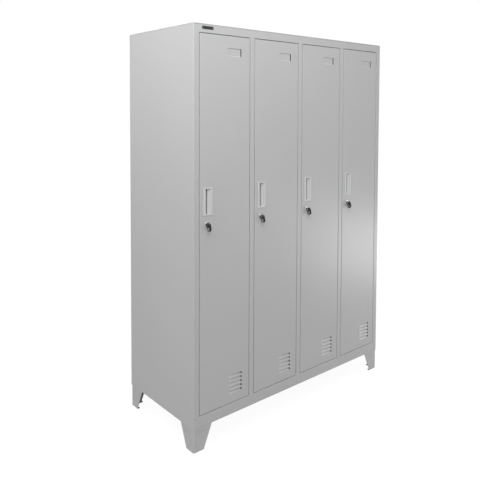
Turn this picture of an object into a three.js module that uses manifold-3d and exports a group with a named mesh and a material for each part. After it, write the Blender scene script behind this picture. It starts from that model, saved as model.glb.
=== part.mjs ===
// A steel locker cabinet with four full-height compartments side by side, on four pressed-sheet legs.
// Each compartment has an inset door on concealed pins, a flush pull, a cam lock with a folding key,
// a hat shelf and a coat rail.
// Millimetres. +X is to the right of someone facing the doors, +Y to the rear, +Z up.
// The origin lies on the floor, in the middle of the footprint with the hanging keys counted in.
import * as THREE from "three";
import { mergeVertices } from "three/addons/utils/BufferGeometryUtils.js";
import Module from "manifold-3d";

const wasm = await Module();
wasm.setup();

// ---- Driving dimensions -------------------------------------------------------------------------

// Cabinet
const WIDTH = 1200;
const DEPTH = 500;
const HEIGHT = 1725;
const LEG_HEIGHT = 97;
const COMPARTMENTS = 4;
const SHEET = 0.8; // body and door sheet
const BEND = 2.5; // outside radius of a fold
const FIT_GAP = 0.3; // between pieces that are welded, riveted or pressed together
const RUNNING_GAP = 0.4; // around a piece that turns or slides
const REAR_FLANGE = 15;
const PANEL_FLANGE = 14; // side flanges of the floor and the top

// Front frame
const STILE_WIDTH = 28; // from the side's face to the opening
const SIDE_RETURN = 12; // how far a side turns round onto the front, where the frame meets it
const DIVIDER_STILE_WIDTH = 25;
const TOP_RAIL_HEIGHT = 37;
const BOTTOM_RAIL_HEIGHT = 47;
const STOP_LIP = 7; // the lip that a door closes against, on its lock side

// Doors
const DOOR_SIDE_GAP = 2;
const DOOR_END_GAP = 2;
const DOOR_DEPTH = 18;
const DOOR_STOP_GAP = 1.2; // between a shut door and the lip
const DOOR_BEND = 2;
const STIFFENER_WIDTH = 60; // hat section welded down the middle of the door, inside
const STIFFENER_DEPTH = 8;
const STIFFENER_FLANGE = 12;
const STIFFENER_END = 150; // from the door's top and bottom edges
const WELD_DEPTH = 0.1; // how far a welded flange sinks into the door sheet

// Hinge pins
const PIN_INSET = 6; // from the door's edge, and behind its face
const PIN_DIAMETER = 5;
const PIN_COLLAR = 9;
const PIN_GRIP = 7; // how far a pin reaches past each sheet

// Louvres, low on the hinge side of each door
const LOUVRE_COUNT = 5;
const LOUVRE_PITCH = 17.4;
const LOUVRE_LENGTH = 69;
const LOUVRE_HEIGHT = 9;
const LOUVRE_DEPTH = 5;
const LOUVRE_SHEET = 0.6; // drawn thinner than the door's sheet by the lancing
const LOUVRE_END_GAP = 1; // between a louvre's strip and the ends of its slot
const LOUVRE_EDGE = 41; // from the door's hinge edge
const LOUVRE_RISE = 41; // from the door's bottom edge

// Label pocket, high on the hinge side of each door
const LABEL_LENGTH = 72;
const LABEL_HEIGHT = 33;
const LABEL_DEPTH = 3;
const LABEL_SLOPE = 3; // how far the pocket's walls lean in
const LABEL_MOUTH = 9; // open end, where the card goes in
const LABEL_EDGE = 49;
const LABEL_DROP = 49; // from the door's top edge

// Flush pull
const PULL_WIDTH = 46;
const PULL_HEIGHT = 112;
const PULL_EDGE = 16.5; // from the door's lock edge
const PULL_DROP = 614; // from the door's top edge
const PULL_PROUD = 1.8;
const PULL_RIM = 3; // frame beyond the hole in the door
const PULL_DEPTH = 16;
const PULL_WALL = 2;
const PULL_CORNER = 3;
const PULL_LIP = 12; // the lip that fingers hook behind
const PULL_LIP_THICKNESS = 2.5;
const PULL_UNDERCUT = 5; // how far the pocket runs on behind the lip
const PULL_POCKET = 11; // deep part beside the lip
const PULL_SHOULDER = 4.5; // depth at which the ramp starts
const PULL_FAR_RIM = 7;

// Cam lock
const LOCK_EDGE = 38.5; // axis from the door's lock edge
const LOCK_DROP = 763; // axis from the door's top edge
const LOCK_BEZEL_LIP = 2.5; // beyond the lock's body
const LOCK_PROUD = 2.6;
const LOCK_WALL = 2.1; // round the plug
const LOCK_END_GAP = 2.6; // from the housing's end to the cam
const LOCK_NUT_LIP = 3; // from the lock's body to the nut's corners
const LOCK_NUT_HEIGHT = 5;
const PLUG_DIAMETER = 14;
const PLUG_RECESS = 0.6;
const PLUG_TAIL = 7;
const CAM_CLEARANCE = 1.6; // behind the frame that the cam locks against
const CAM_THICKNESS = 2;
const CAM_WIDTH = 16;
const CAM_OVERLAP = 8; // behind the frame when locked
const SCREW_HEAD = 11;
const SCREW_HEAD_HEIGHT = 1.8;

// Key
const KEY_THICKNESS = 2;
const KEY_BLADE_WIDTH = 8;
const KEY_BLADE_LENGTH = 17;
const KEY_TAB_WIDTH = 9;
const KEY_BOW_CLEARANCE = 0.9; // between the hanging bow and the lock
const KEY_PIVOT_DIAMETER = 2.8;
const KEY_BOW_WIDTH = 20;
const KEY_BOW_NECK = 11;
const KEY_BOW_LENGTH = 17; // from the pivot to the middle of the round end
const KEY_BOW_THICKNESS = 7;
const KEY_RING_HOLE = 9;

// Inside
const SHELF_DROP = 330; // shelf's top below the cabinet's top
const SHELF_SETBACK = 30;
const SHELF_FRONT_FLANGE = 22;
const SHELF_FRONT_HEM = 10;
const SHELF_REAR_FLANGE = 14;
const COAT_RAIL_DROP = 65; // axis below the shelf's top
const COAT_RAIL_DIAMETER = 18;
const COAT_RAIL_WALL = 1.5;
const COAT_RAIL_FLANGE = 32;
const COAT_RAIL_FLANGE_THICKNESS = 3;

// Legs
const LEG_TOP_WIDTH = 92;
const LEG_FOOT_WIDTH = 52;
const LEG_SHEET = 2;
const LEG_INSET = 1; // behind the faces of the body
const LEG_CORNER = 4; // flat across the outer corner, measured along each face
const LEG_PANEL_DEPTH = 2;
const LEG_PANEL_CREASE = 12; // from the outer corner to the panel
const LEG_PANEL_MARGIN = 13; // round the panel's other sides

// Blank name plate on the top rail
const PLATE_WIDTH = 55;
const PLATE_HEIGHT = 12;
const PLATE_THICKNESS = 1;
const PLATE_EDGE = 42; // from the cabinet's left side
const PLATE_DROP = 10; // from the cabinet's top

// Roundness of the mesh
const FOLD_STEPS = 3;
const ROUND_STEPS = 20;
const PIN_STEPS = 12;

// ---- Sizes that follow --------------------------------------------------------------------------

const HALF_SHEET = SHEET / 2;
const FRAME_RETURN = DOOR_DEPTH + DOOR_STOP_GAP + SHEET; // how far the frame turns back behind its face
const LEFT = -WIDTH / 2;
const RIGHT = WIDTH / 2;
const TOP_UNDERSIDE = HEIGHT - SHEET - FIT_GAP; // highest point of what stands under the top sheet
const BACK_FRONT = DEPTH - SHEET - FIT_GAP; // rearmost point of what stands before the back sheet
const BEHIND_FRAME = FRAME_RETURN + FIT_GAP;
const INSIDE_REAR = BACK_FRONT - BEND - FIT_GAP; // clear of the sides' folded rear flanges

const OPENING_BOTTOM = LEG_HEIGHT + BOTTOM_RAIL_HEIGHT;
const OPENING_TOP = HEIGHT - TOP_RAIL_HEIGHT;
const OPENING_HEIGHT = OPENING_TOP - OPENING_BOTTOM;
const OPENING_WIDTH =
  (WIDTH - 2 * STILE_WIDTH - (COMPARTMENTS - 1) * DIVIDER_STILE_WIDTH) / COMPARTMENTS;
const PITCH = OPENING_WIDTH + DIVIDER_STILE_WIDTH;

// In an opening's own frame: x from its left edge, y from the cabinet's face, z from its bottom edge.
const DOOR_LEFT = DOOR_SIDE_GAP;
const DOOR_RIGHT = OPENING_WIDTH - DOOR_SIDE_GAP;
const DOOR_BOTTOM = DOOR_END_GAP;
const DOOR_TOP = OPENING_HEIGHT - DOOR_END_GAP;
const PIN_X = DOOR_RIGHT - PIN_INSET;
const PULL_X = DOOR_LEFT + PULL_EDGE;
const PULL_Z = DOOR_TOP - PULL_DROP - PULL_HEIGHT;
const LOCK_X = DOOR_LEFT + LOCK_EDGE;
const LOCK_Z = DOOR_TOP - LOCK_DROP;

const CAM_FRONT = FRAME_RETURN + CAM_CLEARANCE;
const CAM_REAR = CAM_FRONT + CAM_THICKNESS;
const CAM_REACH = LOCK_X + CAM_OVERLAP;
const BORE_RADIUS = PLUG_DIAMETER / 2 + RUNNING_GAP;
const LOCK_BODY_RADIUS = BORE_RADIUS + LOCK_WALL;
const LOCK_LENGTH = CAM_FRONT - LOCK_END_GAP;
// The pivot of the folding bow lies this far in front of the door's face.
const KEY_PIVOT_OUT = LOCK_PROUD + KEY_BOW_CLEARANCE + KEY_BOW_WIDTH / 2;

// The hanging bows reach furthest forward, and the origin is in the middle of the whole footprint.
const KEY_REACH = KEY_PIVOT_OUT + KEY_BOW_WIDTH / 2;
const FACE_Y = (KEY_REACH - DEPTH) / 2;

// ---- Materials ----------------------------------------------------------------------------------

function finish(color, roughness, metalness) {
  return new THREE.MeshStandardMaterial({ color, roughness, metalness });
}

const POWDER_COAT = finish(0xc3c4c3, 0.42, 0.0);
const PULL_PLASTIC = finish(0xcfd0cf, 0.4, 0.0);
const CHROME = finish(0xd8d9da, 0.14, 1.0);
const NICKEL = finish(0xbdbcb6, 0.25, 1.0);
const ZINC = finish(0xa6a9ab, 0.4, 1.0);
const BLACK_PLASTIC = finish(0x17181a, 0.35, 0.0);
const DARK_PLATE = finish(0x4d4f52, 0.4, 0.6);

// ---- Solids -------------------------------------------------------------------------------------

// A closed three.js geometry as a manifold-3d solid.
function solid(geometry) {
  const bare = geometry.index ? geometry.toNonIndexed() : geometry.clone();
  bare.deleteAttribute("normal");
  bare.deleteAttribute("uv");
  const merged = mergeVertices(bare, 1e-4);
  return new wasm.Manifold(
    new wasm.Mesh({
      numProp: 3,
      vertProperties: new Float32Array(merged.attributes.position.array),
      triVerts: new Uint32Array(merged.index.array),
    }),
  );
}

// A manifold-3d solid as a named mesh.
function mesh(name, body, material) {
  const { numProp, vertProperties, triVerts } = body.getMesh();
  const positions = new Float32Array((vertProperties.length / numProp) * 3);
  for (let i = 0; i < positions.length / 3; i++) {
    positions.set(vertProperties.subarray(i * numProp, i * numProp + 3), i * 3);
  }
  const geometry = new THREE.BufferGeometry();
  geometry.setAttribute("position", new THREE.BufferAttribute(positions, 3));
  geometry.setIndex(new THREE.BufferAttribute(new Uint32Array(triVerts), 1));
  geometry.computeVertexNormals();
  const made = new THREE.Mesh(geometry, material);
  made.name = name;
  return made;
}

function box(x0, x1, y0, y1, z0, z1) {
  const geometry = new THREE.BoxGeometry(x1 - x0, y1 - y0, z1 - z0);
  geometry.translate((x0 + x1) / 2, (y0 + y1) / 2, (z0 + z1) / 2);
  return solid(geometry);
}

// An outline extruded along an axis, drawn in (x, y) for "z", in (y, z) for "x" and in (x, z) for "y".
const FRAMES = {
  x: new THREE.Matrix4().makeBasis(
    new THREE.Vector3(0, 1, 0),
    new THREE.Vector3(0, 0, 1),
    new THREE.Vector3(1, 0, 0),
  ),
  y: new THREE.Matrix4().makeBasis(
    new THREE.Vector3(1, 0, 0),
    new THREE.Vector3(0, 0, 1),
    new THREE.Vector3(0, -1, 0),
  ),
  z: new THREE.Matrix4(),
};

function extrusion(shape, axis, from, to, curveSegments = ROUND_STEPS) {
  const options = { depth: to - from, bevelEnabled: false, curveSegments };
  const geometry = new THREE.ExtrudeGeometry(shape, options);
  geometry.translate(0, 0, axis === "y" ? -to : from);
  geometry.applyMatrix4(FRAMES[axis]);
  return geometry;
}

function prism(points, axis, from, to) {
  const shape = new THREE.Shape(points.map(([u, v]) => new THREE.Vector2(u, v)));
  return solid(extrusion(shape, axis, from, to));
}

// A profile of [radius, distance] points turned about an axis, with the distances rising along it.
function turned(profile, steps = ROUND_STEPS) {
  const points = profile.map(([r, h]) => new THREE.Vector2(r, h));
  return solid(new THREE.LatheGeometry(points, steps));
}

function turnedAboutX(profile, steps = ROUND_STEPS) {
  const points = profile.map(([r, h]) => new THREE.Vector2(r, h));
  return solid(new THREE.LatheGeometry(points, steps).rotateZ(-Math.PI / 2));
}

function turnedAboutZ(profile, steps = ROUND_STEPS) {
  const points = profile.map(([r, h]) => new THREE.Vector2(r, h));
  return solid(new THREE.LatheGeometry(points, steps).rotateX(Math.PI / 2));
}

function rod(radius, from, to) {
  return [
    [0, from],
    [radius, from],
    [radius, to],
    [0, to],
  ];
}

// The cross-section of a folded sheet: a middle line through the corners, each rounded, given thickness.
function folded(corners, outsideRadius, thickness = SHEET) {
  const middleRadius = outsideRadius - thickness / 2;
  const line = corners.map(([u, v]) => new THREE.Vector2(u, v));
  const left = [];
  const right = [];
  const add = (point, direction) => {
    const side = new THREE.Vector2(-direction.y, direction.x).multiplyScalar(thickness / 2);
    left.push(point.clone().add(side));
    right.push(point.clone().sub(side));
  };
  line.forEach((corner, i) => {
    const before = i > 0 ? corner.clone().sub(line[i - 1]).normalize() : null;
    const after = i < line.length - 1 ? line[i + 1].clone().sub(corner).normalize() : null;
    if (!before || !after) {
      add(corner, before || after);
      return;
    }
    const turn = Math.atan2(before.cross(after), before.dot(after));
    const trim = middleRadius * Math.tan(Math.abs(turn) / 2);
    const start = corner.clone().addScaledVector(before, -trim);
    const inward = new THREE.Vector2(-before.y, before.x).multiplyScalar(Math.sign(turn));
    const centre = start.clone().addScaledVector(inward, middleRadius);
    for (let step = 0; step <= FOLD_STEPS; step++) {
      const angle = (turn * step) / FOLD_STEPS;
      const direction = before.clone().rotateAround(new THREE.Vector2(), angle);
      add(start.clone().rotateAround(centre, angle), direction);
    }
  });
  return [...left, ...right.reverse()].map((point) => [point.x, point.y]);
}

function roundedRectangle(x0, x1, z0, z1, radius) {
  const shape = new THREE.Shape();
  shape.moveTo(x0 + radius, z0);
  shape.lineTo(x1 - radius, z0);
  shape.absarc(x1 - radius, z0 + radius, radius, -Math.PI / 2, 0);
  shape.lineTo(x1, z1 - radius);
  shape.absarc(x1 - radius, z1 - radius, radius, 0, Math.PI / 2);
  shape.lineTo(x0 + radius, z1);
  shape.absarc(x0 + radius, z1 - radius, radius, Math.PI / 2, Math.PI);
  shape.lineTo(x0, z0 + radius);
  shape.absarc(x0 + radius, z0 + radius, radius, Math.PI, (3 * Math.PI) / 2);
  return shape;
}

// ---- Body ---------------------------------------------------------------------------------------

const openingLeft = (n) => LEFT + STILE_WIDTH + n * PITCH;
const dividerMiddle = (n) => openingLeft(n) - DIVIDER_STILE_WIDTH / 2;

// A side, folded in one piece with its narrow front return and its rear flange.
function sidePanel(side) {
  const outer = side * (WIDTH / 2 - HALF_SHEET);
  const rear = BACK_FRONT - HALF_SHEET;
  const corners = [
    [side * (WIDTH / 2 - SIDE_RETURN), HALF_SHEET],
    [outer, HALF_SHEET],
    [outer, rear],
    [outer - side * (REAR_FLANGE - HALF_SHEET), rear],
  ];
  return prism(folded(corners, BEND), "z", LEG_HEIGHT, TOP_UNDERSIDE);
}

function backPanel() {
  return box(LEFT, RIGHT, DEPTH - SHEET, DEPTH, LEG_HEIGHT, TOP_UNDERSIDE);
}

// The top: a sheet over the whole body, with a flange inside each side panel.
function topPanel() {
  const outline = new THREE.Shape();
  outline.moveTo(LEFT, DEPTH);
  outline.lineTo(LEFT, BEND);
  outline.absarc(LEFT + BEND, BEND, BEND, Math.PI, (3 * Math.PI) / 2);
  outline.lineTo(RIGHT - BEND, 0);
  outline.absarc(RIGHT - BEND, BEND, BEND, -Math.PI / 2, 0);
  outline.lineTo(RIGHT, DEPTH);
  let panel = solid(extrusion(outline, "z", HEIGHT - SHEET, HEIGHT, FOLD_STEPS));
  for (const side of [-1, 1]) {
    panel = panel.add(sideFlange(side, HEIGHT - PANEL_FLANGE, HEIGHT - HALF_SHEET));
  }
  return panel;
}

function sideFlange(side, z0, z1) {
  const outer = side * (WIDTH / 2 - SHEET - FIT_GAP);
  const inner = outer - side * SHEET;
  return box(Math.min(outer, inner), Math.max(outer, inner), BEHIND_FRAME, INSIDE_REAR, z0, z1);
}

// The floor, with a flange turned up inside each side panel.
function bottomPanel() {
  const side = WIDTH / 2 - SHEET - FIT_GAP - HALF_SHEET;
  const corners = [
    [-side, LEG_HEIGHT + PANEL_FLANGE],
    [-side, LEG_HEIGHT + HALF_SHEET],
    [side, LEG_HEIGHT + HALF_SHEET],
    [side, LEG_HEIGHT + PANEL_FLANGE],
  ];
  return prism(folded(corners, DOOR_BEND), "y", BEHIND_FRAME, INSIDE_REAR);
}

// The front frame: two rails and five stiles, welded flush. Each door closes against the lip of the stile
// on its left.
function frontFrame() {
  const bottomHoles = [OPENING_BOTTOM - 2 * SHEET, OPENING_BOTTOM + SHEET];
  const topHoles = [OPENING_TOP - SHEET, OPENING_TOP + 2 * SHEET];
  let frame = rail(LEG_HEIGHT, OPENING_BOTTOM).add(rail(OPENING_TOP, TOP_UNDERSIDE));
  for (let n = 0; n <= COMPARTMENTS; n++) frame = frame.add(stile(n));
  for (let n = 0; n < COMPARTMENTS; n++) {
    for (const [z0, z1] of [bottomHoles, topHoles]) {
      const hole = turnedAboutZ(rod(PIN_DIAMETER / 2 + FIT_GAP, z0, z1), PIN_STEPS);
      frame = frame.subtract(hole.translate([openingLeft(n) + PIN_X, PIN_INSET, 0]));
    }
  }
  return frame;
}

const FRAME_LEFT = LEFT + SIDE_RETURN + FIT_GAP;
const FRAME_RIGHT = RIGHT - SIDE_RETURN - FIT_GAP;

// A rail, folded as a channel that is open to the rear.
function rail(z0, z1) {
  const corners = [
    [FRAME_RETURN, z0 + HALF_SHEET],
    [HALF_SHEET, z0 + HALF_SHEET],
    [HALF_SHEET, z1 - HALF_SHEET],
    [FRAME_RETURN, z1 - HALF_SHEET],
  ];
  return prism(folded(corners, BEND), "x", FRAME_LEFT, FRAME_RIGHT);
}

// The stile before opening n; the last one is after the last opening. Its ends run over the rails' folds.
function stile(n) {
  const first = n === 0;
  const last = n === COMPARTMENTS;
  const left = openingLeft(n) - DIVIDER_STILE_WIDTH + HALF_SHEET;
  const right = openingLeft(n) - HALF_SHEET;
  const corners = first ? [[FRAME_LEFT, HALF_SHEET]] : [[left, FRAME_RETURN], [left, HALF_SHEET]];
  if (last) {
    corners.push([FRAME_RIGHT, HALF_SHEET]);
  } else {
    corners.push([right, HALF_SHEET], [right, FRAME_RETURN - HALF_SHEET]);
    corners.push([right + HALF_SHEET + STOP_LIP, FRAME_RETURN - HALF_SHEET]);
  }
  return prism(folded(corners, BEND), "z", OPENING_BOTTOM - BEND, OPENING_TOP + BEND);
}

// A divider: one flat sheet from the back into the channel of the stile between two doors.
function divider(n) {
  const floor = LEG_HEIGHT + SHEET + FIT_GAP;
  const stileBottom = OPENING_BOTTOM + FIT_GAP;
  const stileTop = OPENING_TOP - FIT_GAP;
  const front = SHEET + FIT_GAP;
  const outline = [
    [BEHIND_FRAME, floor],
    [BACK_FRONT, floor],
    [BACK_FRONT, TOP_UNDERSIDE],
    [BEHIND_FRAME, TOP_UNDERSIDE],
    [BEHIND_FRAME, stileTop],
    [front, stileTop],
    [front, stileBottom],
    [BEHIND_FRAME, stileBottom],
  ];
  return prism(outline, "x", dividerMiddle(n) - HALF_SHEET, dividerMiddle(n) + HALF_SHEET);
}

// ---- Doors --------------------------------------------------------------------------------------

// A louvre: a strip lanced inwards along its top edge, which slopes out to the face at its bottom edge.
function louvreSection(z) {
  const corners = [
    [HALF_SHEET, z - 2 * SHEET],
    [HALF_SHEET, z],
    [LOUVRE_DEPTH, z + LOUVRE_HEIGHT],
  ];
  return folded(corners, DOOR_BEND, LOUVRE_SHEET);
}

function withLouvres(door) {
  const x1 = DOOR_RIGHT - LOUVRE_EDGE;
  const x0 = x1 - LOUVRE_LENGTH;
  let made = door;
  for (let i = 0; i < LOUVRE_COUNT; i++) {
    const z = DOOR_BOTTOM + LOUVRE_RISE + i * LOUVRE_PITCH;
    made = made.subtract(box(x0, x1, -SHEET, 2 * SHEET, z, z + LOUVRE_HEIGHT));
    made = made.add(prism(louvreSection(z), "x", x0 + LOUVRE_END_GAP, x1 - LOUVRE_END_GAP));
  }
  return made;
}

// The label pocket: a shallow tray pressed inwards, open at its hinge-side end.
function withLabelPocket(door) {
  const x1 = DOOR_RIGHT - LABEL_EDGE;
  const x0 = x1 - LABEL_LENGTH;
  const z1 = DOOR_TOP - LABEL_DROP;
  const z0 = z1 - LABEL_HEIGHT;
  const mouth = x1 - LABEL_MOUTH;
  const outline = (y, inset, end) => [
    [x0 + inset, z0 + inset, y],
    [end, z0 + inset, y],
    [end, z1 - inset, y],
    [x0 + inset, z1 - inset, y],
  ];
  const back = LABEL_SLOPE - SHEET;
  const bossFront = outline(HALF_SHEET, -2 * SHEET, mouth);
  const boss = frustum(bossFront, outline(LABEL_DEPTH + SHEET, back, mouth));
  const end = mouth + SHEET;
  const hollow = frustum(outline(-SHEET, -SHEET, end), outline(LABEL_DEPTH, LABEL_SLOPE, end));
  const mouthHole = box(mouth - SHEET, x1, -SHEET, 2 * SHEET, z0, z1);
  return door.add(boss).subtract(hollow).subtract(mouthHole);
}

// A four-sided solid between two outlines of [x, z, y] corners, the first one nearer the front.
function frustum(front, rear) {
  const geometry = new THREE.BoxGeometry(1, 1, 1);
  const corners = geometry.attributes.position;
  for (let i = 0; i < corners.count; i++) {
    const outline = corners.getY(i) < 0 ? front : rear;
    const right = corners.getX(i) > 0;
    const upper = corners.getZ(i) > 0;
    const [x, z, y] = outline[upper ? (right ? 2 : 3) : right ? 1 : 0];
    corners.setXYZ(i, x, y, z);
  }
  return solid(geometry);
}

// The hat section that stiffens the door, open towards the door sheet.
function stiffener() {
  const middle = (PULL_X + PULL_WIDTH + DOOR_RIGHT - LOUVRE_EDGE - LOUVRE_LENGTH) / 2;
  const near = SHEET + HALF_SHEET - WELD_DEPTH;
  const far = SHEET + STIFFENER_DEPTH;
  const half = STIFFENER_WIDTH / 2;
  const corners = [
    [middle - half - STIFFENER_FLANGE, near],
    [middle - half, near],
    [middle - half + STIFFENER_DEPTH / 2, far],
    [middle + half - STIFFENER_DEPTH / 2, far],
    [middle + half, near],
    [middle + half + STIFFENER_FLANGE, near],
  ];
  const bottom = DOOR_BOTTOM + STIFFENER_END;
  return prism(folded(corners, DOOR_BEND), "z", bottom, DOOR_TOP - STIFFENER_END);
}

function door() {
  const left = DOOR_LEFT + HALF_SHEET;
  const right = DOOR_RIGHT - HALF_SHEET;
  const corners = [
    [left, DOOR_DEPTH],
    [left, HALF_SHEET],
    [right, HALF_SHEET],
    [right, DOOR_DEPTH],
  ];
  let made = prism(folded(corners, DOOR_BEND), "z", DOOR_BOTTOM, DOOR_TOP);
  const ends = [
    [DOOR_BOTTOM + WELD_DEPTH, DOOR_BOTTOM + WELD_DEPTH + SHEET],
    [DOOR_TOP - WELD_DEPTH - SHEET, DOOR_TOP - WELD_DEPTH],
  ];
  for (const [z0, z1] of ends) {
    made = made.add(box(left, right, HALF_SHEET, DOOR_DEPTH - WELD_DEPTH, z0, z1));
    const hole = turnedAboutZ(rod(PIN_DIAMETER / 2 + RUNNING_GAP, z0 - SHEET, z1 + SHEET), PIN_STEPS);
    made = made.subtract(hole.translate([PIN_X, PIN_INSET, 0]));
  }
  const inset = PULL_RIM - FIT_GAP;
  const pullHole = box(
    PULL_X + inset,
    PULL_X + PULL_WIDTH - inset,
    -SHEET,
    2 * SHEET,
    PULL_Z + inset,
    PULL_Z + PULL_HEIGHT - inset,
  );
  made = made.subtract(pullHole);
  const lockHole = turned(rod(LOCK_BODY_RADIUS + FIT_GAP, -SHEET, 2 * SHEET));
  made = made.subtract(lockHole.translate([LOCK_X, 0, LOCK_Z]));
  return withLabelPocket(withLouvres(made.add(stiffener())));
}

// A pin: a shank through the frame and the door, and a collar that fills the gap between them.
function hingePin() {
  const shank = PIN_DIAMETER / 2;
  const collar = PIN_COLLAR / 2;
  const reach = PIN_GRIP + SHEET;
  const profile = [
    [0, -reach],
    [shank, -reach],
    [shank, RUNNING_GAP],
    [collar, RUNNING_GAP],
    [collar, DOOR_END_GAP - FIT_GAP],
    [shank, DOOR_END_GAP - FIT_GAP],
    [shank, DOOR_END_GAP + reach],
    [0, DOOR_END_GAP + reach],
  ];
  return turnedAboutZ(profile, PIN_STEPS);
}

// ---- Pull ---------------------------------------------------------------------------------------

// x from the frame's left edge, z from its bottom edge.
function pull() {
  const outline = roundedRectangle(0, PULL_WIDTH, 0, PULL_HEIGHT, PULL_CORNER);
  const frame = solid(extrusion(outline, "y", -PULL_PROUD, -FIT_GAP, FOLD_STEPS));
  const pocketEnd = PULL_LIP + PULL_POCKET;
  const cupRight = PULL_WIDTH - PULL_RIM;
  const cup = box(PULL_RIM, cupRight, -PULL_PROUD / 2, PULL_DEPTH, PULL_RIM, PULL_HEIGHT - PULL_RIM);
  const farEdge = PULL_WIDTH - PULL_FAR_RIM;
  const floor = PULL_DEPTH - PULL_WALL;
  const underRamp = PULL_SHOULDER + PULL_WALL;
  const cavityOutline = [
    [PULL_LIP, -2 * PULL_PROUD],
    [farEdge, -2 * PULL_PROUD],
    [farEdge, 0],
    [pocketEnd, PULL_SHOULDER],
    [pocketEnd, underRamp],
    [cupRight - PULL_WALL, underRamp],
    [cupRight - PULL_WALL, floor],
    [PULL_LIP - PULL_UNDERCUT, floor],
    [PULL_LIP - PULL_UNDERCUT, PULL_LIP_THICKNESS],
    [PULL_LIP, PULL_LIP_THICKNESS - PULL_PROUD / 2],
  ];
  const end = PULL_RIM + PULL_WALL;
  const cavity = prism(cavityOutline, "z", end, PULL_HEIGHT - end);
  return frame.add(cup).subtract(cavity);
}

// ---- Lock ---------------------------------------------------------------------------------------

// The lock's pieces are drawn about its axis, which is the Y axis.
function lockHousing() {
  const bezel = LOCK_BODY_RADIUS + LOCK_BEZEL_LIP;
  const edge = LOCK_PROUD / 3;
  const body = LOCK_BODY_RADIUS;
  const nutRadius = body + LOCK_NUT_LIP;
  const outer = turned([
    [0, -LOCK_PROUD],
    [bezel - edge, -LOCK_PROUD],
    [bezel, -LOCK_PROUD + edge],
    [bezel, -FIT_GAP],
    [body, -FIT_GAP],
    [body, LOCK_LENGTH],
    [0, LOCK_LENGTH],
  ]);
  const nutShape = [...Array(6).keys()].map((i) => {
    const angle = (i * Math.PI) / 3;
    return [nutRadius * Math.cos(angle), nutRadius * Math.sin(angle)];
  });
  const nutFront = SHEET + FIT_GAP;
  const nut = prism(nutShape, "y", nutFront, nutFront + LOCK_NUT_HEIGHT);
  const bore = turned(rod(BORE_RADIUS, -2 * LOCK_PROUD, LOCK_LENGTH + LOCK_PROUD));
  return outer.add(nut).subtract(bore);
}

// The plug, with its tail, the screw that holds the cam, and the keyway.
function lockPlug() {
  const front = -LOCK_PROUD + PLUG_RECESS;
  const barrelEnd = CAM_FRONT - FIT_GAP;
  const screwFrom = CAM_REAR + FIT_GAP;
  const barrel = turned([
    [0, front],
    [PLUG_DIAMETER / 2, front],
    [PLUG_DIAMETER / 2, barrelEnd],
    [PLUG_TAIL / 2, barrelEnd],
    [PLUG_TAIL / 2, screwFrom],
    [SCREW_HEAD / 2, screwFrom],
    [SCREW_HEAD / 2, screwFrom + SCREW_HEAD_HEIGHT],
    [0, screwFrom + SCREW_HEAD_HEIGHT],
  ]);
  const halfSlot = KEY_THICKNESS / 2 + FIT_GAP;
  const halfHeight = KEY_BLADE_WIDTH / 2 + FIT_GAP;
  const slotEnd = KEY_BLADE_LENGTH + FIT_GAP;
  return barrel.subtract(box(-halfSlot, halfSlot, 2 * front, slotEnd, -halfHeight, halfHeight));
}

// The cam hangs down when the lock is open, and points at the lock-side stile when it is shut.
function lockCam() {
  const half = CAM_WIDTH / 2;
  const corner = CAM_WIDTH / 4;
  const shape = new THREE.Shape();
  shape.absarc(0, 0, half, 0, Math.PI);
  shape.lineTo(-half, -CAM_REACH + corner);
  shape.lineTo(-half + corner, -CAM_REACH);
  shape.lineTo(half - corner, -CAM_REACH);
  shape.lineTo(half, -CAM_REACH + corner);
  const hole = new THREE.Path();
  hole.absarc(0, 0, PLUG_TAIL / 2 + FIT_GAP, 0, 2 * Math.PI, true);
  shape.holes.push(hole);
  return solid(extrusion(shape, "y", CAM_FRONT, CAM_REAR, ROUND_STEPS / 2));
}

// ---- Key ----------------------------------------------------------------------------------------

// The blade, with the tab that the bow folds about. Drawn in (y, z), with the lock's axis at z = 0.
function keyBlade() {
  const halfBlade = KEY_BLADE_WIDTH / 2;
  const halfTab = KEY_TAB_WIDTH / 2;
  const shoulder = -LOCK_PROUD;
  const shape = new THREE.Shape();
  shape.moveTo(KEY_BLADE_LENGTH - halfBlade, -halfBlade);
  shape.lineTo(KEY_BLADE_LENGTH, 0);
  shape.lineTo(KEY_BLADE_LENGTH - halfBlade, halfBlade);
  shape.lineTo(shoulder, halfBlade);
  shape.lineTo(shoulder, halfTab);
  shape.lineTo(-KEY_PIVOT_OUT, halfTab);
  shape.absarc(-KEY_PIVOT_OUT, 0, halfTab, Math.PI / 2, (3 * Math.PI) / 2);
  shape.lineTo(shoulder, -halfTab);
  shape.lineTo(shoulder, -halfBlade);
  const hole = new THREE.Path();
  hole.absarc(-KEY_PIVOT_OUT, 0, KEY_PIVOT_DIAMETER / 2 + FIT_GAP, 0, 2 * Math.PI, true);
  shape.holes.push(hole);
  return solid(extrusion(shape, "x", -KEY_THICKNESS / 2, KEY_THICKNESS / 2, ROUND_STEPS / 2));
}

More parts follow.
